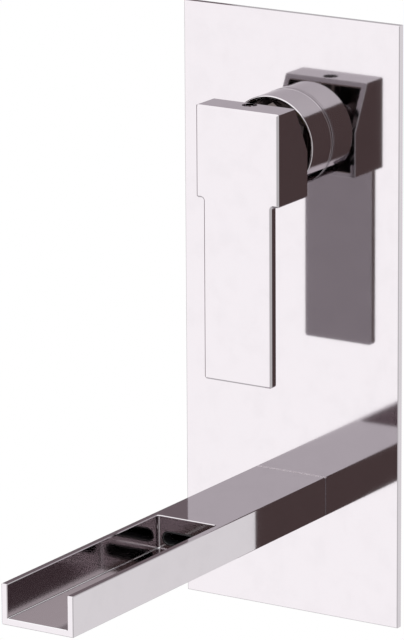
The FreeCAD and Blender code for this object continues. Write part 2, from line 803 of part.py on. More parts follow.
def spout_elbow():
    """Casting below: socket for the pipe on top, threaded mouth to the front, two lugs behind."""
    bore = pipe_radius - pipe_wall - elbow_bore_step
    back_y = outlet_y + bore + back_wall
    barrel = rod_y(elbow_radius, elbow_setback, back_y, spout_z)
    riser = rod_z(boss_radius, spout_z, spout_z + elbow_socket_rise, outlet_y)
    yoke = stadium_y(lug_spacing + 2 * lug_radius, 2 * lug_radius,
                     lug_back_y - lug_height, lug_back_y, spout_z)
    thread = rod_y(half_inch_radius, elbow_setback - past, elbow_setback + half_inch_depth, spout_z)
    across = rod_y(bore, elbow_setback, outlet_y, spout_z)
    turn = Part.makeSphere(bore, V(0, outlet_y, spout_z))
    down = rod_z(bore, spout_z, spout_z + elbow_socket_rise, outlet_y)
    top = spout_z + elbow_socket_rise
    socket = rod_z(pipe_radius + pipe_fit, top - pipe_insert, top + past, outlet_y)
    bores = [screw_bore(side * lug_spacing / 2, spout_z) for side in (-1, 1)]
    return barrel.fuse([riser, yoke]).cut([thread, across, turn, down, socket] + bores).removeSplitter()


def nipple_washer():
    outer = half_inch_radius + washer_width
    washer = rod_y(outer, hex_back_y, elbow_setback, spout_z)
    return washer.cut(rod_y(half_inch_radius, hex_back_y - past, elbow_setback + past, spout_z))


def nipple_ring_centres():
    return [plate_front - nipple_ring_start - i * nipple_ring_pitch for i in range(2)]


def spout_nipple():
    """Turned brass: thread into the elbow, hexagon, tail with two ring grooves and a lock groove."""
    tail_front = plate_front - nipple_tail_length
    tail = rod_y(tail_r, tail_front, hex_front_y, spout_z)
    tail = tail.makeChamfer(nipple_edge, pick_edges(tail, lambda p: near(p.y, tail_front)))
    nut = hexagon(nipple_hex_flats, V(0, hex_front_y, spout_z), V(0, nipple_hex_length, 0))
    thread = rod_y(half_inch_radius - nipple_thread_fit, hex_back_y, nipple_back_y, spout_z)
    tools = [rod_y(nipple_bore, tail_front - past, nipple_back_y + past, spout_z)]
    grooves = [(y, nipple_ring_depth, nipple_ring_depth + 2 * nipple_fit + sleeve_fit)
               for y in nipple_ring_centres()]
    grooves.append((plate_front - lock_groove_back, lock_groove_depth, lock_groove_width))
    for middle, depth, width in grooves:
        tools.append(turned_y([
            (tail_r - depth, middle - width / 2),
            (tail_r + past, middle - width / 2),
            (tail_r + past, middle + width / 2),
            (tail_r - depth, middle + width / 2),
        ], spout_z))
    return tail.fuse([nut, thread]).cut(tools).removeSplitter()


def nipple_o_rings():
    bottom = tail_r - nipple_ring_depth
    return Part.makeCompound([rubber_ring(bottom, tail_r + nipple_fit, y, spout_z)
                              for y in nipple_ring_centres()])


# ---- Spout ----

def spout():
    """Rectangular brass channel: closed box behind, open trough in front, slot between them."""
    half = spout_width / 2
    bar = block(-half, half, spout_front_y, plate_front, spout_bottom, spout_top)
    bar = bar.makeChamfer(spout_edge, bar.Edges)
    side = trough_width / 2
    trough = block(-side, side, spout_front_y - past, trough_back_y, trough_floor, spout_top + past)
    back_corners = pick_edges(trough, lambda p: near(p.y, trough_back_y) and near(abs(p.x), side))
    trough = trough.makeFillet(trough_corner, back_corners)
    bottom_edges = pick_edges(trough, lambda p: near(p.z, trough_floor) and p.y > spout_front_y - past / 2)
    runs = pick_edges(trough, lambda p: near(p.z, trough_floor) and near(abs(p.x), side))
    trough = trough.makeFillet(trough_cove, bottom_edges + runs)
    chamber = block(-side, side, trough_back_y + outlet_wall, plate_front - socket_depth,
                    trough_floor, spout_top - spout_floor)
    slot = stadium_y(slot_width, outlet_height, trough_back_y - past,
                     trough_back_y + outlet_wall + past, slot_z)
    socket = rod_y(tail_r + nipple_fit, plate_front - socket_depth - past, plate_front + past, spout_z)
    screw_y = plate_front - lock_groove_back
    screw_hole = rod_z(spout_screw_radius + grub_fit, spout_bottom - past, spout_z, screw_y)
    channel = bar.cut(trough)

    def on_mouth(p):
        on_skin = p.z > spout_top - spout_edge - 0.01 or p.y < spout_front_y + spout_edge + 0.01
        in_trough = abs(p.x) < side + 0.01 and p.z > trough_floor - 0.01 and p.y < trough_back_y + 0.01
        return on_skin and in_trough

    channel = channel.makeChamfer(spout_edge, pick_edges(channel, on_mouth))
    return channel.cut([chamber, slot, socket, screw_hole])


def outlet_liner():
    """Moulded lining of the outlet slot, flush with the trough's back wall."""
    y0 = trough_back_y
    y1 = trough_back_y + liner_length
    outer = stadium_y(slot_width - 2 * liner_fit, outlet_height - 2 * liner_fit, y0, y1, slot_z)
    inner = stadium_y(slot_width - 2 * liner_wall, outlet_height - 2 * liner_wall,
                      y0 - past, y1 + past, slot_z)
    return outer.cut(inner)


def spout_grub_screw():
    tip = spout_z - (tail_r - lock_groove_depth)
    screw = grub_screw(spout_screw_radius, tip, spout_screw_length, -1)
    screw.translate(V(0, plate_front - lock_groove_back, 0))
    return screw


# ---- Bracket ----

def wall_slot_z():
    return plate_height / 2 - bracket_end_margin - bracket_ear_length / 2


def mounting_bracket():
    """Folded steel strip: strap behind the brass work, stepped ears against the masonry."""
    front = lug_back_y
    end = plate_height / 2 - bracket_end_margin
    bend = end - bracket_ear_length - bracket_joggle
    step = bracket_joggle
    sheet = bracket_sheet
    inset = sheet * math.tan(math.radians(22.5))
    upper_front = [(front, bend), (front + step, bend + step), (front + step, end)]
    upper_back = [(front + step + sheet, end), (front + step + sheet, bend + step - inset),
                  (front + sheet, bend - inset)]
    upper = upper_front + upper_back
    lower = [(y, -z) for y, z in reversed(upper)]
    strip = side_profile(upper + lower, bracket_ear_width)
    waist_half = end - bracket_ear_length
    tools = []
    for side in (-1, 1):
        x0 = side * bracket_strap_width / 2
        x1 = side * (bracket_ear_width / 2 + past)
        tools.append(block(min(x0, x1), max(x0, x1), front - past, front + step + sheet + past,
                           -waist_half, waist_half))
        for z in (lever_height, spout_z):
            tools.append(rod_y(screw_radius + screw_hole_fit, front - past, front + sheet + past,
                               z, side * lug_spacing / 2))
        for z in (-wall_slot_z(), wall_slot_z()):
            tools.append(stadium_y(wall_slot_length, 2 * wall_slot_radius, front,
                                   front + step + sheet + past, z, side * wall_slot_spacing / 2))
    strip = strip.cut(tools).removeSplitter()
    ear_corners = [edge for edge in strip.Edges
                   if near(edge.Length, sheet) and near(abs(edge.CenterOfMass.z), end)]
    return strip.makeFillet(bracket_corner, ear_corners)


def bracket_screws():
    """Four socket screws through the strap into the lugs, as separate solids."""
    back = lug_back_y + bracket_sheet
    screws = []
    for z in (lever_height, spout_z):
        for side in (-1, 1):
            x = side * lug_spacing / 2
            head = rod_y(screw_head_radius, back, back + screw_head_height, z, x)
            rim = pick_edges(head, lambda p: near(p.y, back + screw_head_height))
            head = head.makeChamfer(screw_head_edge, rim)
            shank = rod_y(screw_radius, back - screw_length, back, z, x)
            key = hexagon(key_flats, V(x, back + screw_head_height, z), V(0, -key_depth, 0))
            screws.append(head.fuse(shank).cut(key).removeSplitter())
    return Part.makeCompound(screws)


PIECES = (
    cover_plate, plate_seal, sleeve, sleeve_o_ring, retaining_nut, cartridge_housing, rotor, rotor_o_ring,
    pivot_pin, stem, disc_driver, moving_disc, fixed_disc, disc_seals, cartridge_base, base_seals,
    lever_handle, lever_grub_screw, mixer_body, outlet_pipe, spout_elbow, nipple_washer, spout_nipple,
    nipple_o_rings, spout, outlet_liner, spout_grub_screw, mounting_bracket, bracket_screws,
)

for piece in PIECES:
    save(piece.__name__, piece())
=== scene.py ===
"""Finished look of a wall-mounted basin mixer, laid out as a Blender add-on and run as a script.

Lengths are in metres in the part's own frame: the origin is the middle of the cover plate's back
face, +Z is up, -Y points out of the wall to the user and +X is to the right seen from the front.
"""
import math
from functools import cache

import bmesh
import bpy
from bpy.props import FloatProperty, FloatVectorProperty, PointerProperty
from mathutils import Matrix, Vector


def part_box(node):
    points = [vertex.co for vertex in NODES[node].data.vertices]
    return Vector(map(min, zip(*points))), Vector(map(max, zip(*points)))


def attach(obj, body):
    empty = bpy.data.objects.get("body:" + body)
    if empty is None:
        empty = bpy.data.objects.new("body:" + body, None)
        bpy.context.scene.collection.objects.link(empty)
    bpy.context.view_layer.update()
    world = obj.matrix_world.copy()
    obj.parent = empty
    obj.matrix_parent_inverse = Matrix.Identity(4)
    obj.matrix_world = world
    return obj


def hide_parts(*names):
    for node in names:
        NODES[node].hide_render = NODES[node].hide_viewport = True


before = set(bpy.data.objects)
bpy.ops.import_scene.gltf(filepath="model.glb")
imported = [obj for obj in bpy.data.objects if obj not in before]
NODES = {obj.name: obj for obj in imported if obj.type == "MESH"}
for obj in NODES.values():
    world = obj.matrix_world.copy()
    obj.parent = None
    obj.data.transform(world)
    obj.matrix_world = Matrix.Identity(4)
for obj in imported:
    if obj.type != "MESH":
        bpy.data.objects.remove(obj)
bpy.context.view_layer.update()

bl_info = {
    "name": "Waterfall basin mixer",
    "version": (1, 0, 0),
    "blender": (4, 5, 0),
    "location": "3D View > Sidebar > Mixer",
    "description": "Builds the finished look of a wall-mounted basin mixer around its CAD model",
    "category": "Object",
}

IN_WALL = "wall_body"
CARRIER = "turning_carrier"
LEVER = "lever"


# ---- places read from the frame

def low(node):
    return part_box(node)[0]


def high(node):
    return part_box(node)[1]


def middle(node):
    return (low(node) + high(node)) / 2


def across(node):
    """Width, depth and height of a node's box."""
    return high(node) - low(node)


LEVER_AXIS_Z = middle("sleeve").z
SPOUT_AXIS_Z = middle("spout").z
PLATE_FRONT_Y = low("cover_plate").y
PIPE_AXIS_Y = middle("outlet_pipe").y

# Places that no node's box gives.
BARREL_FRONT_Y = 0.005
ARM_AXIS_Y = 0.02602
BORE_RADIUS, BORE_DEPTH = 0.0096, 0.0139
NIPPLE_RING_PITCH = 0.0045

# Distances from the outside of the lever's head and of the spout at which the finish changes:
# duller plating, painted shade, painted light and a painted highlight.
HEAD_WALL, HEAD_FRONT = 0.0023, 0.0045
TROUGH_WALL, TROUGH_FLOOR, TROUGH_RIM = 0.0027, 0.0026, 0.0004
WALL_FACE, WALL_FOOT = 0.003, 0.0032
SEAM_WIDTH = 0.00065
# How deep the look of a machined or polished face reaches.
SKIN = 0.0001


# ---- settings

def length(name, description, millimetres):
    return FloatProperty(name=name, description=description, default=millimetres / 1000, min=0.0,
                         unit="LENGTH", precision=5)


def amount(name, description, default):
    return FloatProperty(name=name, description=description, default=default, min=0.0)


def angle(name, description, default):
    return FloatProperty(name=name, description=description, default=default, subtype="ANGLE")


def colour(name, thing, default):
    return FloatVectorProperty(name=name, description="Colour of " + thing, default=default,
                               size=3, subtype="COLOR", min=0.0, max=1.0)


class SleeveSettings(bpy.types.PropertyGroup):
    """Sizes of the sleeve round the body's neck."""
    wall: length("Wall", "Thickness of the tube", 1.2)
    lip: length("Lip rounding", "Rounding of the rims, inside and outside", 0.52)
    bead: length("Bead", "How far the fine bead round the foot stands proud", 0.085)
    bead_setoff: length("Bead set-off", "Distance of the bead from the cover plate", 1.25)


class RubberSettings(bpy.types.PropertyGroup):
    """Sizes of the rubber rings and the foam sheet."""
    spread: amount("Spread", "How much wider than high a squeezed ring is", 1.12)
    seal_edge: length("Seal edge", "Rounding of the foam sheet's edges", 0.25)


class ScrewSettings(bpy.types.PropertyGroup):
    """Sizes of the bracket screws and the grub screws."""
    head_radius: length("Head radius", "Half the width of a bracket screw's head", 4.75)
    head_height: length("Head height", "Height of a bracket screw's head", 2.8)
    head_edge: length("Head edge", "Bevel round a bracket screw's head", 0.7)
    key: length("Key size", "Flats of the hexagon key for the bracket screws", 3.0)
    key_depth: length("Key depth", "Depth of that hexagon", 1.6)
    shank_radius: length("Shank radius", "Half the width over a bracket screw's thread", 2.5)
    shank: length("Shank", "Length of a bracket screw under its head", 10.0)
    pitch: length("Pitch", "Pitch of the bracket screws' thread", 0.8)
    spacing: length("Spacing", "Distance between two screws side by side", 28.0)
    grub_key: length("Grub key size", "Flats of the hexagon key for the grub screws", 2.0)
    grub_pitch: length("Grub pitch", "Pitch of the grub screws' thread", 0.7)


class OutletSettings(bpy.types.PropertyGroup):
    """Sizes of the liner in the outlet slot."""
    wall: length("Liner wall", "Thickness of the liner", 0.75)
    lip: length("Liner rounding", "Rounding of the liner's edges", 0.3)


class BrassSettings(bpy.types.PropertyGroup):
    """Sizes of the details on the brass work in the wall."""
    braze: length("Braze", "Radius of the bead of silver braze round the pipe", 0.75)
    braze_ripple: length("Braze ripple", "Unevenness of that bead", 0.22)
    inlet_pitch: length("Inlet pitch", "Pitch of the half-inch pipe thread", 1.814)
    parting: length("Parting line", "Width of the casting's parting line", 0.9)


class FinishSettings(bpy.types.PropertyGroup):
    """Colours and polish of every finish."""
    chrome: colour("Chrome", "the chromium plating", (0.452, 0.427, 0.445))
    chrome_edge: colour("Chrome at a glance", "the plating seen edge-on", (0.72, 0.70, 0.72))
    polish: amount("Polish", "Roughness of the plating where it is polished", 0.055)
    plate_polish: amount("Plate polish", "Roughness of the large flat plate", 0.06)
    inner_polish: amount("Inner polish", "Roughness where a polishing wheel can't reach", 0.085)
    hollow_polish: amount("Hollow polish", "Roughness inside the lever's head", 0.28)
    # Painted light and shade: the walls' colour is painted shade and the floor's colour painted
    # light, standing in for how light falls in the trough.
    inner_wall: colour("Inner walls", "the plating on the trough's walls", (0.455, 0.395, 0.412))
    trough_floor_painted_light: colour("Inner floor", "the plating on the trough's floor", (0.505, 0.499, 0.507))
    # Painted shade: this dark colour stands in for the shade inside the lever's hollow head; only
    # the satin roughness there is the plating's own.
    hollow: colour("Hollow", "the thin plating inside the lever's head", (0.20, 0.155, 0.145))
    # Painted highlight: a bright colour laid on the spout's top bevel to stand in for a highlight
    # there, not a bright bevel.
    seam: colour("Seam", "the bright bevel where the spout meets the plate", (0.92, 0.88, 0.90))
    seam_polish: amount("Seam polish", "Roughness of that bevel", 0.5)
    brass: colour("Turned brass", "machined brass", (0.72, 0.52, 0.25))
    casting: colour("Cast brass", "the blasted casting skin", (0.46, 0.34, 0.17))
    braze: colour("Braze", "the silver braze", (0.66, 0.58, 0.40))
    # Painted shade: this near-black colour is darkened to stand in for the shade inside the sleeve,
    # on the nut and the body's neck; it is not the plating's own colour.
    nickel: colour("Nickel plating", "the dull plating on the nut and on the body's neck",
                   (0.115, 0.095, 0.095))
    steel: colour("Stainless steel", "screws and pins", (0.50, 0.49, 0.47))
    zinc: colour("Zinc plating", "the bracket", (0.52, 0.55, 0.57))
    zinc_bloom: colour("Zinc bloom", "the bracket's bluish patches", (0.34, 0.38, 0.45))
    rubber: colour("Rubber", "the rubber rings", (0.018, 0.018, 0.02))
    foam: colour("Foam", "the seal behind the plate", (0.035, 0.035, 0.037))
    ceramic: colour("Ceramic", "the lapped discs", (0.83, 0.81, 0.76))
    housing: colour("Cartridge", "the cartridge's housing and foot", (0.060, 0.066, 0.078))
    carrier: colour("Carrier", "the turning carrier and the driver", (0.025, 0.026, 0.029))
    liner: colour("Liner", "the outlet liner", (0.02, 0.02, 0.022))
    fibre: colour("Fibre", "the fibre washer", (0.36, 0.07, 0.04))


class StudioSettings(bpy.types.PropertyGroup):
    """Camera, lamps, cards, wall and floor."""
    camera_at: FloatVectorProperty(name="Camera place", description="Where the camera stands",
                                   default=(1.14941, -1.88495, 0.58603), size=3, subtype="XYZ",
                                   unit="LENGTH")
    camera_turn: angle("Camera turn", "Turn of the view about the vertical", 0.5652985)
    camera_tilt: angle("Camera tilt", "Tilt of the view above the level", -0.2605989)
    camera_roll: angle("Camera roll", "Roll about the line of sight", -0.0057102)
    lens_mm: amount("Lens", "Focal length in millimetres on a 36 mm sensor", 304.16)
    floor_drop: FloatProperty(name="Floor drop", description="Height of the mixer above the floor",
                              default=1.25, min=0.2, unit="LENGTH")
    floor_shade: colour("Floor", "the floor", (0.86, 0.86, 0.86))
    floor_glow: amount("Floor glow", "Share of the floor's look that is white to the eye", 0.96)
    wall_edges: FloatVectorProperty(name="Wall", size=4, unit="LENGTH",
                                    description="Left, right, lower and upper edge of the wall",
                                    default=(-0.08, 0.09, -0.15, 0.16))
    ambient: amount("Ambient", "Strength of the even light on matt surfaces", 0.35)
    softbox: amount("Softbox", "Brightness of the front and top softboxes", 1.04)
    back_light: amount("Back light", "Brightness of the panel behind on the right", 0.5)
    left_card: colour("Left card", "the dark card on the left", (0.330, 0.272, 0.290))
    front_card: colour("Front card", "the dark cards beside the camera", (0.279, 0.201, 0.191))
    light_card: colour("Light card", "the light card that the sleeve mirrors", (1.0, 0.97, 0.98))


class MixerSettings(bpy.types.PropertyGroup):
    """All settings of the mixer."""
    sleeve: PointerProperty(type=SleeveSettings, name="Sleeve")
    rubber: PointerProperty(type=RubberSettings, name="Rubber")
    screws: PointerProperty(type=ScrewSettings, name="Screws")
    outlet: PointerProperty(type=OutletSettings, name="Outlet")
    brass: PointerProperty(type=BrassSettings, name="Brass work")
    finish: PointerProperty(type=FinishSettings, name="Finish")
    studio: PointerProperty(type=StudioSettings, name="Studio")


def chosen(context, group):
    """One group of settings, and the finishes."""
    return getattr(context.scene.mixer, group), context.scene.mixer.finish


# ---- node tools

def feed(value, socket):
    """Links another node's output to an input, or sets the input's own value."""
    if isinstance(value, bpy.types.NodeSocket):
        socket.id_data.links.new(value, socket)
    else:
        socket.default_value = value


def put(tree, kind, inputs=None, **attributes):
    """Adds a node with its attributes and then its inputs."""
    node = tree.nodes.new(kind)
    for name, value in attributes.items():
        setattr(node, name, value)
    for socket, value in (inputs or {}).items():
        feed(value, node.inputs[socket])
    return node


class Net:
    """A node tree that can do sums."""

    def __init__(self, tree):
        self.tree = tree

    def node(self, kind, inputs=None, **attributes):
        return put(self.tree, "ShaderNode" + kind, inputs, **attributes)

    def maths(self, first, second, operation, clamp=False):
        return self.node("Math", {0: first, 1: second}, operation=operation,
                         use_clamp=clamp).outputs[0]

    def plus(self, first, second):
        return self.maths(first, second, "ADD")

    def minus(self, first, second):
        return self.maths(first, second, "SUBTRACT")

    def times(self, first, second):
        return self.maths(first, second, "MULTIPLY")

    def over(self, first, second):
        return self.maths(first, second, "DIVIDE")

    def either(self, mask, one, other, kind="FLOAT"):
        """Where the mask is 1 the first value, and where it is 0 the other."""
        return self.node("Mix", {"Factor": mask, "A": other, "B": one},
                         data_type=kind).outputs["Result"]


# ---- shared shader groups

class Group(Net):
    """A shader group with one output; an input's default tells what kind it is, None a vector."""

    def __init__(self, name, output, **inputs):
        self.tree = bpy.data.node_groups.new(name, "ShaderNodeTree")
        sockets = self.tree.interface
        for label, default in inputs.items():
            kind = {type(None): "Vector", float: "Float", tuple: "Color"}[type(default)]
            socket = sockets.new_socket(label, in_out="INPUT", socket_type="NodeSocket" + kind)
            if default is not None:
                socket.default_value = default
        kind = "Color" if output == "Color" else "Float"
        sockets.new_socket(output, in_out="OUTPUT", socket_type="NodeSocket" + kind)
        self.given = self.tree.nodes.new("NodeGroupInput").outputs

    def texture(self, kind, **settings):
        """The outputs of a texture at the group's own place and scale."""
        inputs = {"Vector": self.given["Vector"], "Scale": self.given["Scale"], **settings}
        return self.node("Tex" + kind, inputs).outputs

    def ending_in(self, value):
        feed(value, self.tree.nodes.new("NodeGroupOutput").inputs[0])
        return self.tree


@cache
def haze_group():
    """Roughness that wanders a little, as a buffed or handled surface's does."""
    group = Group("Haze", "Roughness", Vector=None, Scale=60.0, Roughness=0.05, Spread=0.02)
    noise = group.texture("Noise", Detail=4.0)["Fac"]
    wander = group.times(group.minus(noise, 0.5), group.given["Spread"])
    total = group.plus(wander, group.given["Roughness"])
    return group.ending_in(group.maths(total, 0.0, "MAXIMUM"))


@cache
def grain_group():
    """Random relief as a height in metres: fine it is orange peel, deep it is a casting's skin."""
    group = Group("Grain", "Height", Vector=None, Scale=400.0, Detail=2.0, Depth=0.0001)
    noise = group.texture("Noise", Detail=group.given["Detail"])["Fac"]
    return group.ending_in(group.times(noise, group.given["Depth"]))


@cache
def turned_group():
    """Fine rings that a lathe tool leaves, across the vector's X, as a height in metres."""
    group = Group("Turned rings", "Height", Vector=None, Scale=900.0, Depth=0.00001)
    bands = group.texture("Wave", Distortion=0.6, Detail=3.0)["Fac"]
    return group.ending_in(group.times(bands, group.given["Depth"]))


@cache
def patina_group():
    """A base colour that darkens in soft patches, as oxidised or handled metal does."""
    group = Group("Patina", "Color", Vector=None, Scale=40.0, Clean=(1, 1, 1, 1),
                  Stained=(0.5, 0.5, 0.5, 1), Amount=0.5)
    noise = group.texture("Noise", Detail=5.0, Roughness=0.6)["Fac"]
    patches = group.node("MapRange", {"Value": noise, "From Min": 0.42, "From Max": 0.72},
                         interpolation_type="SMOOTHSTEP").outputs["Result"]
    mask = group.times(patches, group.given["Amount"])
    return group.ending_in(group.either(mask, group.given["Stained"], group.given["Clean"], "RGBA"))


@cache
def cells_group():
    """Open cells of a foam sheet, as a height in metres."""
    group = Group("Foam cells", "Height", Vector=None, Scale=900.0, Depth=0.0003)
    return group.ending_in(group.times(group.texture("Voronoi")["Distance"], group.given["Depth"]))


@cache
def thread_group():
    """A screw thread round the vector's X axis, as a height in metres."""
    group = Group("Screw thread", "Height", Vector=None, Pitch=0.001, Depth=0.0005)
    parts = group.node("SeparateXYZ", {0: group.given["Vector"]}).outputs
    turns = group.over(group.maths(parts["Z"], parts["Y"], "ARCTAN2"), 2 * math.pi)
    along = group.over(parts["X"], group.given["Pitch"])
    crest = group.times(group.maths(group.plus(along, turns), 0.5, "PINGPONG"), 2.0)
    return group.ending_in(group.times(crest, group.given["Depth"]))


@cache
def beyond_group():
    """1 where a value passes an edge and 0 before it, with a narrow step between."""
    group = Group("Beyond", "Mask", Value=0.0, Edge=0.0, Step=0.0001)
    above = group.minus(group.given["Value"], group.given["Edge"])
    share = group.over(above, group.given["Step"])
    return group.ending_in(group.maths(share, 0.5, "ADD", clamp=True))


# ---- finishes

ALONG_Y = (0.0, 0.0, math.radians(90))
ALONG_Z = (0.0, math.radians(-90), 0.0)
METAL, NO_METAL = 1.0, 0.0


def darker(shade, share):
    return tuple(part * share for part in shade)


def opaque(shade):
    return (*shade, 1.0)


class Finish(Net):
    """One material: its Principled shader, and its place in Object coordinates or on an axis."""

    def __init__(self, name, shade, metallic, roughness, centre=(0, 0, 0), turn=(0, 0, 0)):
        self.material = bpy.data.materials.new(name)
        self.material.use_nodes = True
        self.tree = self.material.node_tree
        self.shader = self.tree.nodes["Principled BSDF"].inputs
        self.shader["Base Color"].default_value = opaque(shade)
        self.shader["Metallic"].default_value = metallic
        self.shader["Roughness"].default_value = roughness
        self.shade, self.roughness, self.height = shade, roughness, None
        place = self.node("TexCoord").outputs["Object"]
        self.place = self.node("Mapping", {"Vector": place, "Location": centre, "Rotation": turn},
                               vector_type="TEXTURE").outputs["Vector"]

    def group(self, group, **values):
        """A shared group with its own values, on this finish's place unless another is given."""
        inputs = {"Vector": self.place, **values}
        return self.node("Group", inputs, node_tree=group()).outputs[0]

    def beyond(self, value, edge, step=0.0001):
        """Mask of where the value passes the edge."""
        inputs = {"Value": value, "Edge": edge, "Step": step}
        return self.node("Group", inputs, node_tree=beyond_group()).outputs[0]

    def axis(self, name):
        """X, Y or Z of the place."""
        return self.node("SeparateXYZ", {0: self.place}).outputs[name]

    def off(self, axis, centre=0.0):
        """Distance along an axis from its centre, to either side."""
        return self.maths(self.minus(self.axis(axis), centre), 0.0, "ABSOLUTE")

    def near_sides(self, node, depth):
        """Mask of all that is less than a depth from the left and right sides of a node's box."""
        return self.beyond(self.off("X"), across(node).x / 2 - depth)

    def neither(self, one, other):
        """Mask of where both masks are 0."""
        return self.minus(1.0, self.maths(one, other, "MAXIMUM"))

    def link(self, source, socket):
        feed(source, self.shader[socket])
        return self

    def lay(self, mask, value, socket="Roughness", kind="FLOAT"):
        """Lays another value over the one in use where the mask is 1."""
        in_use = self.shader[socket].links[0].from_socket
        return self.link(self.either(mask, value, in_use, kind), socket)

    def tint(self, mask, shade):
        return self.lay(mask, opaque(shade), "Base Color", "RGBA")

    def haze(self, scale, spread):
        return self.link(self.group(haze_group, Scale=scale, Roughness=self.roughness,
                                    Spread=spread), "Roughness")

    def patina(self, stained, scale, amount):
        """Stains the base colour with another, or with a share of its own light."""
        if isinstance(stained, float):
            stained = darker(self.shade, stained)
        return self.link(self.group(patina_group, Scale=scale, Clean=opaque(self.shade),
                                    Stained=opaque(stained), Amount=amount), "Base Color")

    def raise_by(self, height):
        """Adds a height in metres to the relief."""
        self.height = height if self.height is None else self.plus(self.height, height)
        return self

    def grain(self, scale, detail, depth):
        return self.raise_by(self.group(grain_group, Scale=scale, Detail=detail, Depth=depth))

    def rings(self, scale, depth):
        return self.raise_by(self.group(turned_group, Scale=scale, Depth=depth))

    def done(self):
        """Turns the relief into a normal and gives the material."""
        if self.height is not None:
            bump = self.node("Bump", {"Height": self.height, "Distance": 1.0, "Strength": 1.0})
            self.link(bump.outputs["Normal"], "Normal")
        return self.material


def chrome_finish(finish, name, roughness):
    """Mirror plating with a breath of haze and the faintest orange peel."""
    look = Finish(name, finish.chrome, METAL, roughness)
    look.shader["Specular Tint"].default_value = opaque(finish.chrome_edge)
    look.haze(scale=45.0, spread=roughness * 0.35)
    look.patina(0.975, scale=90.0, amount=1.0)
    return look.grain(scale=120.0, detail=1.0, depth=0.0000006)


def dulled(look, mask, finish):
    """Makes plating duller where the mask is 1, as a polishing wheel can't reach there."""
    return look.lay(mask, look.group(haze_group, Scale=60.0, Roughness=finish.inner_polish,
                                     Spread=finish.inner_polish * 0.15))


def plate_finish(finish):
    """The cover plate's plating: a mirror in front, and duller from half its thickness back."""
    look = chrome_finish(finish, "plate_chrome_finish", finish.plate_polish)
    back = look.beyond(look.axis("Y"), PLATE_FRONT_Y * 0.5 + SKIN)
    return dulled(look, back, finish).done()


def lever_finish(finish):
    """The lever's plating: satin inside its hollow head, and darkened there with painted shade."""
    look = chrome_finish(finish, "lever_finish", finish.polish)
    inside = in_head(look)
    return look.lay(inside, finish.hollow_polish).tint(inside, finish.hollow).done()


def spout_finish(finish):
    """The spout's plating: duller in the trough, with painted light on its floor, painted shade on
    its walls, and a painted highlight on the bevel where the top meets the plate.
    """
    look = chrome_finish(finish, "spout_finish", finish.polish)
    # The top bevel's mask carries a painted highlight.
    trough, seam = in_trough(look), top_bevel_painted_highlight(look)
    dulled(look, trough, finish).lay(seam, finish.seam_polish)
    # Painted highlight on the top bevel, painted light on the trough's floor and painted shade on
    # its walls.
    look.tint(seam, finish.seam).tint(trough, finish.trough_floor_painted_light)
    return look.tint(on_trough_wall(look, trough), finish.inner_wall).done()


def in_head(look):
    """Mask of the walls, the hub and the boss inside the lever's hollow head, which is square;
    there the plating is duller and darkened with painted shade.
    """
    half = across("lever_handle").x / 2
    clear = look.neither(look.near_sides("lever_handle", HEAD_WALL),
                         look.beyond(look.off("Z", LEVER_AXIS_Z), half - HEAD_WALL))
    return look.times(look.beyond(look.axis("Y"), low("lever_handle").y + HEAD_FRONT), clear)


def in_trough(look):
    """Mask of the spout's inner walls and floor."""
    clear = look.neither(look.near_sides("spout", TROUGH_WALL),
                         look.beyond(look.axis("Z"), high("spout").z - TROUGH_RIM))
    return look.times(look.beyond(look.axis("Z"), low("spout").z + TROUGH_FLOOR), clear)


def on_trough_wall(look, trough):
    """Mask of the trough's upright walls, out of that of the whole trough, where painted shade
    goes.
    """
    above = look.beyond(look.axis("Z"), low("spout").z + WALL_FOOT)
    return look.times(trough, look.times(look.near_sides("spout", WALL_FACE), above))


def top_bevel_painted_highlight(look):
    """Mask of the spout's bevelled edge where its top meets the plate, which takes a painted
    highlight.
    """
    return look.times(look.beyond(look.axis("Y"), high("spout").y - SEAM_WIDTH),
                      look.beyond(look.axis("Z"), high("spout").z - TROUGH_RIM))


def turned_brass(name, shade, centre, turn, roughness=0.24, groove=0.00001):
    look = Finish(name, shade, METAL, roughness, centre, turn)
    look.patina(0.62, scale=90.0, amount=0.5).haze(scale=180.0, spread=0.12)
    return look.rings(scale=700.0, depth=groove).done()


def casting(finish, name, machined):
    """Blasted casting skin, bright and fine-turned where machined() is 1."""
    look = Finish(name, finish.casting, METAL, roughness=0.52)
    look.patina(0.5, scale=60.0, amount=0.8).haze(scale=220.0, spread=0.2)
    cut = machined(look)
    bright = look.group(patina_group, Scale=90.0, Clean=opaque(finish.brass),
                        Stained=opaque(darker(finish.brass, 0.7)), Amount=0.5)
    look.lay(cut, bright, "Base Color", "RGBA")
    look.lay(cut, look.group(haze_group, Scale=200.0, Roughness=0.24, Spread=0.1))
    coarse = look.group(grain_group, Scale=1500.0, Detail=6.0, Depth=0.00016)
    fine = look.group(turned_group, Scale=900.0, Depth=0.000006)
    return look.raise_by(look.either(cut, fine, coarse))


def from_arm_axis(look, x=0.0):
    """The place measured from the axis of the two inlet arms."""
    y, z = look.minus(look.axis("Y"), ARM_AXIS_Y), look.minus(look.axis("Z"), LEVER_AXIS_Z)
    return look.node("CombineXYZ", {"X": x, "Y": y, "Z": z}).outputs[0]


def bore(look):
    """Mask of the threaded bores in the arms' ends."""
    radius = look.node("VectorMath", {0: from_arm_axis(look)}, operation="LENGTH").outputs["Value"]
    return look.times(look.beyond(BORE_RADIUS, radius), look.near_sides("mixer_body", BORE_DEPTH))


def neck(look):
    """Mask of the barrel's neck, which is machined and darkened with painted shade."""
    return look.beyond(BARREL_FRONT_Y + SKIN / 2, look.axis("Y"))


def body_cut(look):
    """Mask of the body's machined faces: the neck, the arms' ends and their bores."""
    ends = look.near_sides("mixer_body", SKIN)
    return look.maths(neck(look), look.maths(ends, bore(look), "MAXIMUM"), "MAXIMUM")


def elbow_cut(look):
    """Mask of the elbow's machined front."""
    return look.beyond(low("spout_elbow").y + SKIN, look.axis("Y"))


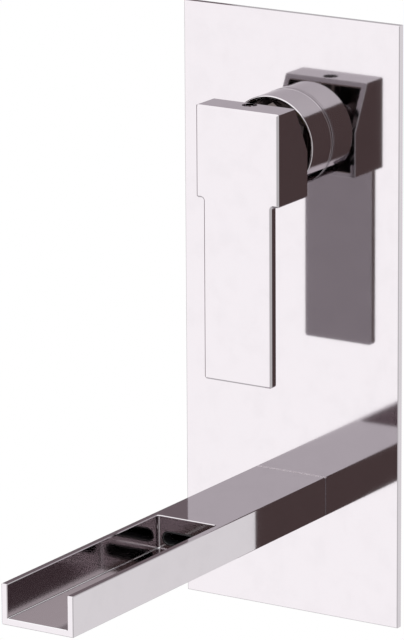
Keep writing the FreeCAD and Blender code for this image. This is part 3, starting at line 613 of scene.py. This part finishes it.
def inlet_thread(look, pitch):
    """Height of the pipe thread in the bores."""
    thread = look.group(thread_group, Vector=from_arm_axis(look, look.axis("X")), Pitch=pitch,
                        Depth=0.0009)
    return look.times(thread, bore(look))


def parting_line(look, width, height=0.00015):
    """Height of the ridge where the two halves of the casting's mould met."""
    ridge = look.beyond(width / 2, look.off("Y", ARM_AXIS_Y), step=0.0003)
    return look.times(ridge, height)


def body_finish(finish, sizes):
    """The mixer body: a casting whose neck is darkened with painted shade, with inlet threads and a
    parting line.
    """
    look = casting(finish, "body_finish", body_cut)
    # The neck's tint is painted shade: a near-black colour for the shade inside the sleeve.
    look.tint(neck(look), finish.nickel).raise_by(inlet_thread(look, sizes.inlet_pitch))
    return look.raise_by(parting_line(look, sizes.parting)).done()


def rubber_finish(finish):
    look = Finish("rubber_finish", finish.rubber, NO_METAL, roughness=0.55)
    look.haze(scale=700.0, spread=0.2)
    return look.grain(scale=3000.0, detail=3.0, depth=0.00002).done()


def foam_finish(finish):
    look = Finish("foam_finish", finish.foam, NO_METAL, roughness=0.9)
    look.patina(0.5, scale=500.0, amount=0.8)
    return look.raise_by(look.group(cells_group, Scale=1100.0, Depth=-0.00025)).done()


def moulded_finish(shade, name, roughness):
    look = Finish(name, shade, NO_METAL, roughness)
    look.patina(0.8, scale=120.0, amount=0.5).haze(scale=300.0, spread=0.1)
    return look.grain(scale=1800.0, detail=3.0, depth=0.00001).done()


def ceramic_finish(finish):
    look = Finish("ceramic_finish", finish.ceramic, NO_METAL, roughness=0.16)
    look.haze(scale=260.0, spread=0.06).patina(0.94, scale=400.0, amount=0.6)
    return look.grain(scale=4000.0, detail=2.0, depth=0.000002).done()


def steel_finish(finish, name, node, turn=(0, 0, 0)):
    look = Finish(name, finish.steel, METAL, roughness=0.28, centre=middle(node), turn=turn)
    look.haze(scale=400.0, spread=0.1).patina(0.8, scale=300.0, amount=0.5)
    return look.rings(scale=1200.0, depth=0.000004).done()


def zinc_finish(finish):
    look = Finish("zinc_finish", finish.zinc, METAL, roughness=0.38)
    look.haze(scale=160.0, spread=0.2).patina(finish.zinc_bloom, scale=70.0, amount=0.7)
    return look.grain(scale=900.0, detail=4.0, depth=0.00001).done()


def fibre_finish(finish):
    look = Finish("fibre_finish", finish.fibre, NO_METAL, roughness=0.6)
    look.patina(0.6, scale=300.0, amount=0.8)
    return look.grain(scale=2200.0, detail=5.0, depth=0.00003).done()


def dress(material, *nodes):
    """Gives carried-over nodes their finish."""
    for name in nodes:
        for holder in NODES[name].material_slots:
            holder.material = material


# ---- shape tools

class Recipe(Net):
    """A Geometry Nodes tree that ends in Realize Instances and Set Material.

    Its inputs are a material and what the names in numbers, vectors and counts say.
    """

    def __init__(self, name, numbers, vectors, counts=""):
        self.tree = bpy.data.node_groups.new(name, "GeometryNodeTree")
        sockets = self.tree.interface
        for kind, labels in (("Float", numbers), ("Int", counts), ("Vector", vectors),
                             ("Material", "material")):
            for label in labels.split():
                sockets.new_socket(label, in_out="INPUT", socket_type="NodeSocket" + kind)
        sockets.new_socket("Shape", in_out="OUTPUT", socket_type="NodeSocketGeometry")
        self.given = self.tree.nodes.new("NodeGroupInput").outputs

    def add(self, kind, inputs=None, **attributes):
        return put(self.tree, "GeometryNode" + kind, inputs, **attributes).outputs[0]

    def up(self, z):
        """A step along z."""
        return self.node("CombineXYZ", {"Z": z}).outputs[0]

    def move(self, shape, by=(0, 0, 0), turn=(0, 0, 0)):
        return self.add("Transform", {"Geometry": shape, "Translation": by, "Rotation": turn})

    def lift(self, shape, z):
        return self.move(shape, self.up(z))

    def laid_down(self, shape, place):
        """Turns what was made along z so that it points to -Y, and moves it."""
        return self.move(shape, place, (math.radians(90), 0, 0))

    def join(self, *shapes):
        node = self.tree.nodes.new("GeometryNodeJoinGeometry")
        for shape in shapes:
            feed(shape, node.inputs[0])
        return node.outputs[0]

    def rounded_bar(self, width, depth, rounding, steps):
        """A rectangle with rounded corners, as a closed curve."""
        bar = self.add("CurvePrimitiveQuadrilateral", {"Width": width, "Height": depth},
                       mode="RECTANGLE")
        return self.add("FilletCurve", {"Curve": bar, "Count": steps, "Radius": rounding,
                                        "Limit Radius": True}, mode="POLY")

    def circle(self, radius, steps):
        return self.add("CurvePrimitiveCircle", {"Radius": radius, "Resolution": steps},
                        mode="RADIUS")

    def sweep(self, path, section, caps=False):
        return self.add("CurveToMesh", {"Curve": path, "Profile Curve": section,
                                        "Fill Caps": caps})

    def cylinder(self, radius, depth, sides):
        return self.add("MeshCylinder", {"Vertices": sides, "Radius": radius, "Depth": depth})

    def hexagon(self, key, depth):
        """The solid that a key's socket takes away, half of it above the middle."""
        return self.cylinder(self.over(key, math.sqrt(3)), self.times(depth, 2.0), sides=6)

    def combine(self, shapes, taken_away):
        """The shapes made one solid, less what is taken away."""
        both = put(self.tree, "GeometryNodeMeshBoolean", operation="UNION", solver="EXACT")
        for shape in shapes:
            feed(shape, both.inputs["Mesh 2"])
        return self.add("MeshBoolean", {"Mesh 1": both.outputs[0], "Mesh 2": taken_away},
                        operation="DIFFERENCE", solver="EXACT")

    def copies(self, piece, points):
        return self.add("InstanceOnPoints", {"Points": points, "Instance": piece})

    def row(self, piece, count, step, start=0.0):
        """Copies of a piece, a step apart along z."""
        points = self.add("MeshLine", {"Count": count, "Start Location": self.up(start),
                                       "Offset": self.up(step)}, mode="OFFSET", count_mode="TOTAL")
        return self.copies(piece, points)

    def finish(self, shape):
        real = self.add("RealizeInstances", {"Geometry": shape})
        dressed = self.add("SetMaterial", {"Geometry": real, "Material": self.given["material"]})
        feed(dressed, self.tree.nodes.new("NodeGroupOutput").inputs["Shape"])
        return self.tree


def new_object(name, data):
    """Puts a mesh, a lamp or a camera in the scene."""
    made = bpy.data.objects.new(name, data)
    bpy.context.scene.collection.objects.link(made)
    return made


def close_up(mesh, sharp, flat=False):
    """Merges doubles, turns the faces outwards or joins flat ones, and keeps real corners sharp."""
    shell = bmesh.new()
    shell.from_mesh(mesh)
    bmesh.ops.remove_doubles(shell, verts=shell.verts, dist=0.000001)
    if flat:
        bmesh.ops.dissolve_limit(shell, angle_limit=math.radians(0.5), verts=shell.verts,
                                 edges=shell.edges)
    else:
        bmesh.ops.recalc_face_normals(shell, faces=shell.faces)
    shell.to_mesh(mesh)
    shell.free()
    mesh.shade_smooth()
    mesh.set_sharp_from_angle(angle=math.radians(sharp))


def add_piece(name, mesh, body, stands_for):
    """Puts a finished mesh in the scene, on its body, and hides the nodes that it stands for."""
    mesh.name = name
    piece = new_object(name, mesh)
    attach(piece, body)
    if stands_for:
        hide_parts(*stands_for)
    return piece


def grow(name, recipe, material, body, slot, stands_for, settings, sharp=35.0, **sizes):
    """Runs a recipe and keeps the result as a plain mesh.

    An input takes the value given for it in sizes, or else the setting of the same name.
    """
    maker = new_object(name + "_maker", bpy.data.meshes.new(name + "_maker"))
    modifier = maker.modifiers.new("shape", "NODES")
    modifier.node_group = recipe
    sizes["material"] = material
    for item in recipe.interface.items_tree:
        if item.in_out == "INPUT":
            given = item.name in sizes
            modifier[item.identifier] = sizes[item.name] if given else getattr(settings, item.name)
    graph = bpy.context.evaluated_depsgraph_get()
    mesh = bpy.data.meshes.new_from_object(maker.evaluated_get(graph))
    bpy.data.objects.remove(maker)
    close_up(mesh, sharp)
    add_piece(name, mesh, body, stands_for)


def softened(name, node, material, body, width):
    """A node's own shape with every edge rounded off a little."""
    mesh = NODES[node].data.copy()
    close_up(mesh, sharp=30.0, flat=True)
    mesh.materials.clear()
    mesh.materials.append(material)
    bevel = add_piece(name, mesh, body, [node]).modifiers.new("edges", "BEVEL")
    bevel.width = width
    bevel.segments = 3
    bevel.limit_method = "ANGLE"
    bevel.harden_normals = True


# ---- recipes

def sleeve_recipe():
    """A tube with rounded rims and a fine bead round its foot, along Y."""
    make = Recipe("Sleeve", "radius wall length lip bead bead_setoff", "foot")
    given = make.given
    path_radius = make.minus(given["radius"], make.over(given["wall"], 2.0))
    section = make.rounded_bar(given["wall"], given["length"], given["lip"], steps=14)
    wall = make.sweep(make.circle(path_radius, steps=240), section)
    wall = make.lift(wall, make.over(given["length"], 2.0))
    bead = make.sweep(make.circle(given["radius"], steps=240), make.circle(given["bead"], steps=20))
    return make.finish(make.laid_down(make.join(wall, make.lift(bead, given["bead_setoff"])),
                                      given["foot"]))


def rubber_ring_recipe():
    """Rubber rings squeezed a little flat, side by side along Y."""
    make = Recipe("Rubber rings", "radius height spread pitch", "centre", "count")
    given = make.given
    width = make.times(given["height"], given["spread"])
    rounding = make.times(given["height"], 0.46)
    ring = make.sweep(make.circle(given["radius"], steps=96),
                      make.rounded_bar(given["height"], width, rounding, steps=5))
    rings = make.row(ring, given["count"], given["pitch"])
    return make.finish(make.laid_down(rings, given["centre"]))


def threaded_core(make, radius, long, pitch):
    """A shank from z = 0 down, and the thread round it, which stops 0.7 pitch from both ends."""
    depth = make.times(pitch, 0.5)
    core = make.minus(radius, depth)
    shank = make.lift(make.cylinder(core, long, sides=32), make.times(long, -0.5))
    wound = make.minus(long, make.times(pitch, 1.4))
    spiral = make.add("CurveSpiral", {"Resolution": 24, "Rotations": make.over(wound, pitch),
                                      "Start Radius": core, "End Radius": core, "Height": wound})
    ridge = make.sweep(spiral, make.circle(depth, steps=4), caps=True)
    return shank, make.lift(ridge, make.minus(make.times(pitch, 0.7), long))


def bracket_screw_recipe():
    """Socket screws at the corners of a grid, their heads towards +Y."""
    make = Recipe("Bracket screws", "head_radius head_height head_edge key key_depth shank_radius "
                  "shank pitch spacing spacing_z", "seat")
    given = make.given
    rim = make.minus(given["head_height"], given["head_edge"])
    side = make.lift(make.cylinder(given["head_radius"], rim, sides=48), make.times(rim, 0.5))
    top_radius = make.minus(given["head_radius"], given["head_edge"])
    top = make.add("MeshCone", {"Vertices": 48, "Radius Bottom": given["head_radius"],
                                "Radius Top": top_radius, "Depth": given["head_edge"]})
    shank, ridge = threaded_core(make, given["shank_radius"], given["shank"], given["pitch"])
    key = make.lift(make.hexagon(given["key"], given["key_depth"]), given["head_height"])
    screw = make.join(make.combine((side, make.lift(top, rim), shank), key), ridge)
    screw = make.move(screw, turn=(math.radians(-90), 0, 0))
    grid = make.add("MeshGrid", {"Size X": given["spacing"], "Size Y": given["spacing_z"],
                                 "Vertices X": 2, "Vertices Y": 2})
    return make.finish(make.copies(screw, make.laid_down(grid, given["seat"])))


def grub_screw_recipe():
    """A headless screw with a hexagon socket in its upper end, laid over by its turn."""
    make = Recipe("Grub screw", "radius length grub_pitch grub_key", "key_end turn")
    given = make.given
    shank, ridge = threaded_core(make, given["radius"], given["length"], given["grub_pitch"])
    key = make.hexagon(given["grub_key"], given["grub_key"])
    screw = make.join(make.combine((shank,), key), ridge)
    return make.finish(make.move(screw, given["key_end"], given["turn"]))


def liner_recipe():
    """A thin lining that follows the outlet slot's round-ended outline, with soft edges."""
    make = Recipe("Outlet liner", "width height depth wall lip", "centre")
    given = make.given
    wide = make.minus(given["width"], given["wall"])
    tall = make.minus(given["height"], given["wall"])
    almost_half = make.times(tall, 0.4999)
    path = make.rounded_bar(wide, tall, almost_half, steps=14)
    section = make.rounded_bar(given["wall"], given["depth"], given["lip"], steps=5)
    return make.finish(make.laid_down(make.sweep(path, section), given["centre"]))


def braze_recipe():
    """Beads of braze round the pipe at both sockets, a little uneven."""
    make = Recipe("Braze", "radius braze braze_ripple gap", "centre")
    given = make.given
    bead = make.sweep(make.circle(given["radius"], steps=96), make.circle(given["braze"], steps=14))
    noise = make.node("TexNoise", {"Scale": 260.0, "Detail": 2.0}).outputs["Fac"]
    push = make.times(make.minus(noise, 0.5), given["braze_ripple"])
    offset = make.node("VectorMath", {0: make.add("InputNormal"), "Scale": push},
                       operation="SCALE").outputs[0]
    bead = make.add("SetPosition", {"Geometry": bead, "Offset": offset})
    beads = make.row(bead, 2, given["gap"], start=make.times(given["gap"], -0.5))
    return make.finish(make.move(beads, given["centre"]))


# ---- operators

class MIXER_OT_cover_plate(bpy.types.Operator):
    """Plates the cover plate: a mirror in front, dull behind"""
    bl_idname = "mixer.cover_plate"
    bl_label = "Cover plate"

    def execute(self, context):
        dress(plate_finish(context.scene.mixer.finish), "cover_plate")
        return {"FINISHED"}


class MIXER_OT_lever(bpy.types.Operator):
    """Plates the lever, satin inside its hollow head and darkened there with painted shade"""
    bl_idname = "mixer.lever"
    bl_label = "Lever"

    def execute(self, context):
        dress(lever_finish(context.scene.mixer.finish), "lever_handle")
        return {"FINISHED"}


class MIXER_OT_spout(bpy.types.Operator):
    """Plates the spout, duller inside its trough, with painted light and shade there and a painted
    highlight on its top bevel
    """
    bl_idname = "mixer.spout"
    bl_label = "Spout"

    def execute(self, context):
        dress(spout_finish(context.scene.mixer.finish), "spout")
        return {"FINISHED"}


class MIXER_OT_sleeve(bpy.types.Operator):
    """Makes the plated sleeve with its rounded rims and its bead"""
    bl_idname = "mixer.sleeve"
    bl_label = "Sleeve"

    def execute(self, context):
        sizes, finish = chosen(context, "sleeve")
        chrome = chrome_finish(finish, "sleeve_finish", finish.polish).done()
        grow("sleeve_tube", sleeve_recipe(), chrome, IN_WALL, "chrome", ["sleeve"], sizes,
             sharp=2.0, radius=high("sleeve_o_ring").x + sizes.wall, length=across("sleeve").y,
             foot=(0, PLATE_FRONT_Y, LEVER_AXIS_Z))
        return {"FINISHED"}


class MIXER_OT_outlet(bpy.types.Operator):
    """Makes the moulded liner of the outlet slot"""
    bl_idname = "mixer.outlet"
    bl_label = "Outlet liner"

    def execute(self, context):
        sizes, finish = chosen(context, "outlet")
        span = across("outlet_liner")
        grow("outlet_lining", liner_recipe(), moulded_finish(finish.liner, "liner_finish", 0.32),
             IN_WALL, "dark_plastic", ["outlet_liner"], sizes, width=span.x, height=span.z,
             depth=span.y, centre=middle("outlet_liner"))
        return {"FINISHED"}


class MIXER_OT_rubber(bpy.types.Operator):
    """Makes the rubber rings and the foam sheet, and finishes the port seals and the washer"""
    bl_idname = "mixer.rubber"
    bl_label = "Seals"

    def execute(self, context):
        sizes, finish = chosen(context, "rubber")
        rubber = rubber_finish(finish)
        recipe = rubber_ring_recipe()
        for node, body, count in (("sleeve_o_ring", IN_WALL, 1), ("rotor_o_ring", CARRIER, 1),
                                  ("nipple_o_rings", IN_WALL, 2)):
            span = across(node)
            pitch = NIPPLE_RING_PITCH if count > 1 else 0.0
            height = span.y - pitch * (count - 1)
            centre = (0, high(node).y - height / 2, middle(node).z)
            grow(node + "_round", recipe, rubber, body, "rubber", [node], sizes,
                 radius=(span.x - height) / 2, height=height, count=count, pitch=pitch,
                 centre=centre)
        dress(rubber, "disc_seals", "base_seals")
        softened("plate_foam", "plate_seal", foam_finish(finish), IN_WALL, sizes.seal_edge)
        dress(fibre_finish(finish), "nipple_washer")
        return {"FINISHED"}


class MIXER_OT_cartridge(bpy.types.Operator):
    """Finishes the cartridge: housing, foot, carrier, driver, discs, stem, pin and nut"""
    bl_idname = "mixer.cartridge"
    bl_label = "Cartridge"

    def execute(self, context):
        finish = context.scene.mixer.finish
        dress(moulded_finish(finish.housing, "housing_finish", 0.45),
              "cartridge_housing", "cartridge_base")
        dress(moulded_finish(finish.carrier, "carrier_finish", 0.4), "rotor", "disc_driver")
        dress(ceramic_finish(finish), "moving_disc", "fixed_disc")
        dress(turned_brass("stem_finish", finish.brass, middle("stem"), ALONG_Y,
                           groove=0.000002), "stem")
        dress(steel_finish(finish, "pin_finish", "pivot_pin"), "pivot_pin")
        # The nut's colour is painted shade, darkened for the shade inside the sleeve.
        dress(turned_brass("nut_finish", finish.nickel, middle("retaining_nut"), ALONG_Y,
                           roughness=0.38), "retaining_nut")
        return {"FINISHED"}


class MIXER_OT_brass_work(bpy.types.Operator):
    """Finishes the castings, the pipe and the nipple, and adds the beads of braze"""
    bl_idname = "mixer.brass_work"
    bl_label = "Brass work"

    def execute(self, context):
        sizes, finish = chosen(context, "brass")
        dress(body_finish(finish, sizes), "mixer_body")
        dress(casting(finish, "elbow_finish", elbow_cut).done(), "spout_elbow")
        dress(turned_brass("pipe_finish", finish.brass, middle("outlet_pipe"), ALONG_Z),
              "outlet_pipe")
        dress(turned_brass("nipple_finish", finish.brass, middle("spout_nipple"), ALONG_Y),
              "spout_nipple")
        braze = turned_brass("braze_finish", finish.braze, (0, 0, 0), (0, 0, 0), roughness=0.35)
        body_end, elbow_end = low("mixer_body").z, high("spout_elbow").z
        grow("pipe_braze", braze_recipe(), braze, IN_WALL, "cast_brass", (), sizes,
             radius=across("outlet_pipe").x / 2, gap=body_end - elbow_end,
             centre=(0, PIPE_AXIS_Y, (body_end + elbow_end) / 2))
        return {"FINISHED"}


class MIXER_OT_hardware(bpy.types.Operator):
    """Makes the screws and finishes the bracket"""
    bl_idname = "mixer.hardware"
    bl_label = "Screws and bracket"

    def execute(self, context):
        sizes, finish = chosen(context, "screws")
        steel = steel_finish(finish, "screw_finish", "bracket_screws", ALONG_Y)
        seat_y = high("bracket_screws").y - sizes.head_height
        grow("bracket_screws_cut", bracket_screw_recipe(), steel, IN_WALL, "steel",
             ["bracket_screws"], sizes, spacing_z=LEVER_AXIS_Z - SPOUT_AXIS_Z,
             seat=(0, seat_y, (LEVER_AXIS_Z + SPOUT_AXIS_Z) / 2))
        grub = steel_finish(finish, "grub_screw_finish", "lever_grub_screw", ALONG_Z)
        recipe = grub_screw_recipe()
        for node, body, key_end, turn in (
                ("lever_grub_screw", LEVER, high("lever_grub_screw").z, 0.0),
                ("spout_grub_screw", IN_WALL, low("spout_grub_screw").z, math.pi)):
            grow(node + "_cut", recipe, grub, body, "steel", [node], sizes,
                 radius=across(node).x / 2, length=across(node).z, turn=(turn, 0, 0),
                 key_end=(middle(node).x, middle(node).y, key_end))
        dress(zinc_finish(finish), "mounting_bracket")
        return {"FINISHED"}


# ---- studio

# How far the floor and the backdrop reach, and where the lamps, the wall and the backdrop are.
REACH = 30.0
LAMP_TOP = 2.2
LAMP_X = -0.4
WALL_Y, BACKDROP_Y = 0.0004, 1.5


def board(name, corners):
    """A flat rectangle from four corners."""
    mesh = bpy.data.meshes.new(name)
    mesh.from_pydata([Vector(corner) for corner in corners], [], [(0, 1, 2, 3)])
    piece = new_object(name, mesh)
    return piece


def upright(name, x, y, z):
    """A standing board between the two ends given along each axis."""
    return board(name, [(x[0], y[0], z[0]), (x[1], y[1], z[0]),
                        (x[1], y[1], z[1]), (x[0], y[0], z[1])])


def hide_from(thing, *rays):
    for ray in rays:
        setattr(thing, "visible_" + ray, False)


def bare_material(name):
    """A material without nodes, and the net to put them in."""
    material = bpy.data.materials.new(name)
    material.use_nodes = True
    material.node_tree.nodes.clear()
    return material, Net(material.node_tree)


def card(name, shade, x, y, z, strength=1.0):
    """A dark or light card that only polished metal sees."""
    material, net = bare_material(name + "_finish")
    glow = net.node("Emission", {"Color": opaque(shade), "Strength": strength})
    net.node("OutputMaterial", {"Surface": glow.outputs[0]})
    panel = upright(name, x, y, z)
    panel.data.materials.append(material)
    hide_from(panel, "camera", "diffuse", "shadow")


def softbox(name, centre, aim, width, height, brightness):
    """A rectangular lamp that faces the point aim and stays out of the camera's sight."""
    lamp = bpy.data.lights.new(name, "AREA")
    lamp.shape = "RECTANGLE"
    lamp.size = width
    lamp.size_y = height
    lamp.energy = brightness * width * height * math.pi
    holder = new_object(name, lamp)
    holder.location = centre
    holder.rotation_mode = "QUATERNION"
    holder.rotation_quaternion = (Vector(aim) - Vector(centre)).to_track_quat("-Z", "Y")
    hide_from(holder, "camera")


def seen_directly(net):
    """1 for what the eye, a mirror or glass sees, and 0 for the light that reaches matt things."""
    path = net.node("LightPath").outputs
    seen = net.maths(path["Is Camera Ray"], path["Is Glossy Ray"], "MAXIMUM")
    return net.maths(seen, path["Is Transmission Ray"], "MAXIMUM")


def clear_from_behind(net, front):
    """Lets the eye through a board's back, so that it never stands before the part."""
    back = net.node("NewGeometry").outputs["Backfacing"]
    clear = net.node("BsdfTransparent").outputs[0]
    mix = net.node("MixShader", {0: back, 1: front.outputs[0], 2: clear})
    net.node("OutputMaterial", {"Surface": mix.outputs[0]})


def floor_finish(studio):
    """Plain pale floor, nearly white to the eye, that still takes a shadow."""
    material, net = bare_material("floor_finish")
    matt = net.node("BsdfDiffuse", {"Color": opaque(studio.floor_shade)}).outputs[0]
    glow = net.node("Emission").outputs[0]
    share = net.times(seen_directly(net), studio.floor_glow)
    clear_from_behind(net, net.node("MixShader", {0: share, 1: matt, 2: glow}))
    return material


def wall_finish():
    """White from the room's side and clear from behind, so that the work in the wall shows."""
    material, net = bare_material("wall_finish")
    clear_from_behind(net, net.node("Emission"))
    return material


def make_world(ambient):
    """A white room to the eye and to mirrors, and an even light on matt surfaces."""
    world = bpy.data.worlds.new("studio_world")
    bpy.context.scene.world = world
    world.use_nodes = True
    net = Net(world.node_tree)
    background = net.tree.nodes["Background"].inputs
    background["Color"].default_value = (1.0, 1.0, 1.0, 1.0)
    strength = net.node("MapRange", {"Value": seen_directly(net), "To Min": ambient, "To Max": 1.0})
    feed(strength.outputs["Result"], background["Strength"])


def make_camera(studio):
    data = bpy.data.cameras.new("camera")
    data.lens = studio.lens_mm
    data.sensor_width = 36.0
    data.clip_start = 0.1
    data.clip_end = 100.0
    camera = new_object("camera", data)
    camera.matrix_world = (Matrix.Translation(studio.camera_at)
                           @ Matrix.Rotation(studio.camera_turn, 4, "Z")
                           @ Matrix.Rotation(math.pi / 2 + studio.camera_tilt, 4, "X")
                           @ Matrix.Rotation(studio.camera_roll, 4, "Z"))
    bpy.context.scene.camera = camera


class MIXER_OT_studio(bpy.types.Operator):
    """Sets up the camera, the lamps, the cards, the wall and the floor"""
    bl_idname = "mixer.studio"
    bl_label = "Studio"

    def execute(self, context):
        studio = context.scene.mixer.studio
        make_camera(studio)
        make_world(studio.ambient)
        ground = -studio.floor_drop
        floor = board("floor", [(-REACH, -REACH, ground), (REACH, -REACH, ground),
                                (REACH, REACH, ground), (-REACH, REACH, ground)])
        floor.data.materials.append(floor_finish(studio))
        paint = wall_finish()
        left, right, bottom, top = studio.wall_edges
        for panel in (upright("wall", (left, right), (WALL_Y, WALL_Y), (bottom, top)),
                      upright("backdrop", (-REACH, REACH), (BACKDROP_Y, BACKDROP_Y),
                              (ground, REACH))):
            panel.data.materials.append(paint)
            hide_from(panel, "diffuse", "glossy", "transmission", "shadow")

        waist = (LAMP_TOP + ground) / 2
        softbox("softbox_front", centre=(LAMP_X, -2.2, waist), aim=(LAMP_X, 0, waist),
                width=4.0, height=LAMP_TOP - ground, brightness=studio.softbox)
        softbox("softbox_top", centre=(LAMP_X, -0.7, LAMP_TOP), aim=(LAMP_X, -0.7, 0),
                width=4.0, height=3.0, brightness=studio.softbox)
        softbox("softbox_back", centre=(1.25, 1.95, 0.1), aim=(0, 0, 0.1),
                width=1.8, height=2.2, brightness=studio.back_light)

        card("left_card", studio.left_card, x=(-1.5, -1.5), y=(-1.4, 2.35), z=(-0.95, 0.9))
        card("front_card", studio.front_card, x=(0.2, 1.4), y=(-1.3, -1.3), z=(-0.95, 0.8))
        card("low_card", studio.front_card, x=(-0.6, -0.2), y=(-1.3, -1.3), z=(-1.2, -0.6))
        card("light_card", studio.light_card, x=(-0.2, 0.345), y=(-1.29, -1.29),
             z=(-1.15, -0.75), strength=2.0)
        context.scene.view_settings.view_transform = "Standard"
        return {"FINISHED"}


# ---- panel and registration

OPERATORS = (MIXER_OT_cover_plate, MIXER_OT_lever, MIXER_OT_spout, MIXER_OT_sleeve,
             MIXER_OT_outlet, MIXER_OT_rubber, MIXER_OT_cartridge, MIXER_OT_brass_work,
             MIXER_OT_hardware, MIXER_OT_studio)
GROUPS_OF_SETTINGS = (SleeveSettings, RubberSettings, ScrewSettings, OutletSettings,
                      BrassSettings, FinishSettings, StudioSettings)


class MIXER_PT_sidebar(bpy.types.Panel):
    """Lists the pieces of the mixer and their settings"""
    bl_idname = "MIXER_PT_sidebar"
    bl_label = "Basin mixer"
    bl_space_type = "VIEW_3D"
    bl_region_type = "UI"
    bl_category = "Mixer"

    def draw(self, context):
        for operator in OPERATORS:
            self.layout.operator(operator.bl_idname)
        for name in MixerSettings.__annotations__:
            group = getattr(context.scene.mixer, name)
            box = self.layout.box()
            for size in type(group).__annotations__:
                box.prop(group, size)


CLASSES = (*GROUPS_OF_SETTINGS, MixerSettings, *OPERATORS, MIXER_PT_sidebar)


def register():
    for item in CLASSES:
        bpy.utils.register_class(item)
    bpy.types.Scene.mixer = PointerProperty(type=MixerSettings, name="Mixer")


def unregister():
    del bpy.types.Scene.mixer
    for item in reversed(CLASSES):
        bpy.utils.unregister_class(item)


def main():
    register()
    bpy.ops.mixer.cover_plate()
    bpy.ops.mixer.lever()
    bpy.ops.mixer.spout()
    bpy.ops.mixer.sleeve()
    bpy.ops.mixer.outlet()
    bpy.ops.mixer.rubber()
    bpy.ops.mixer.cartridge()
    bpy.ops.mixer.brass_work()
    bpy.ops.mixer.hardware()
    bpy.ops.mixer.studio()


if __name__ == "__main__":
    main()
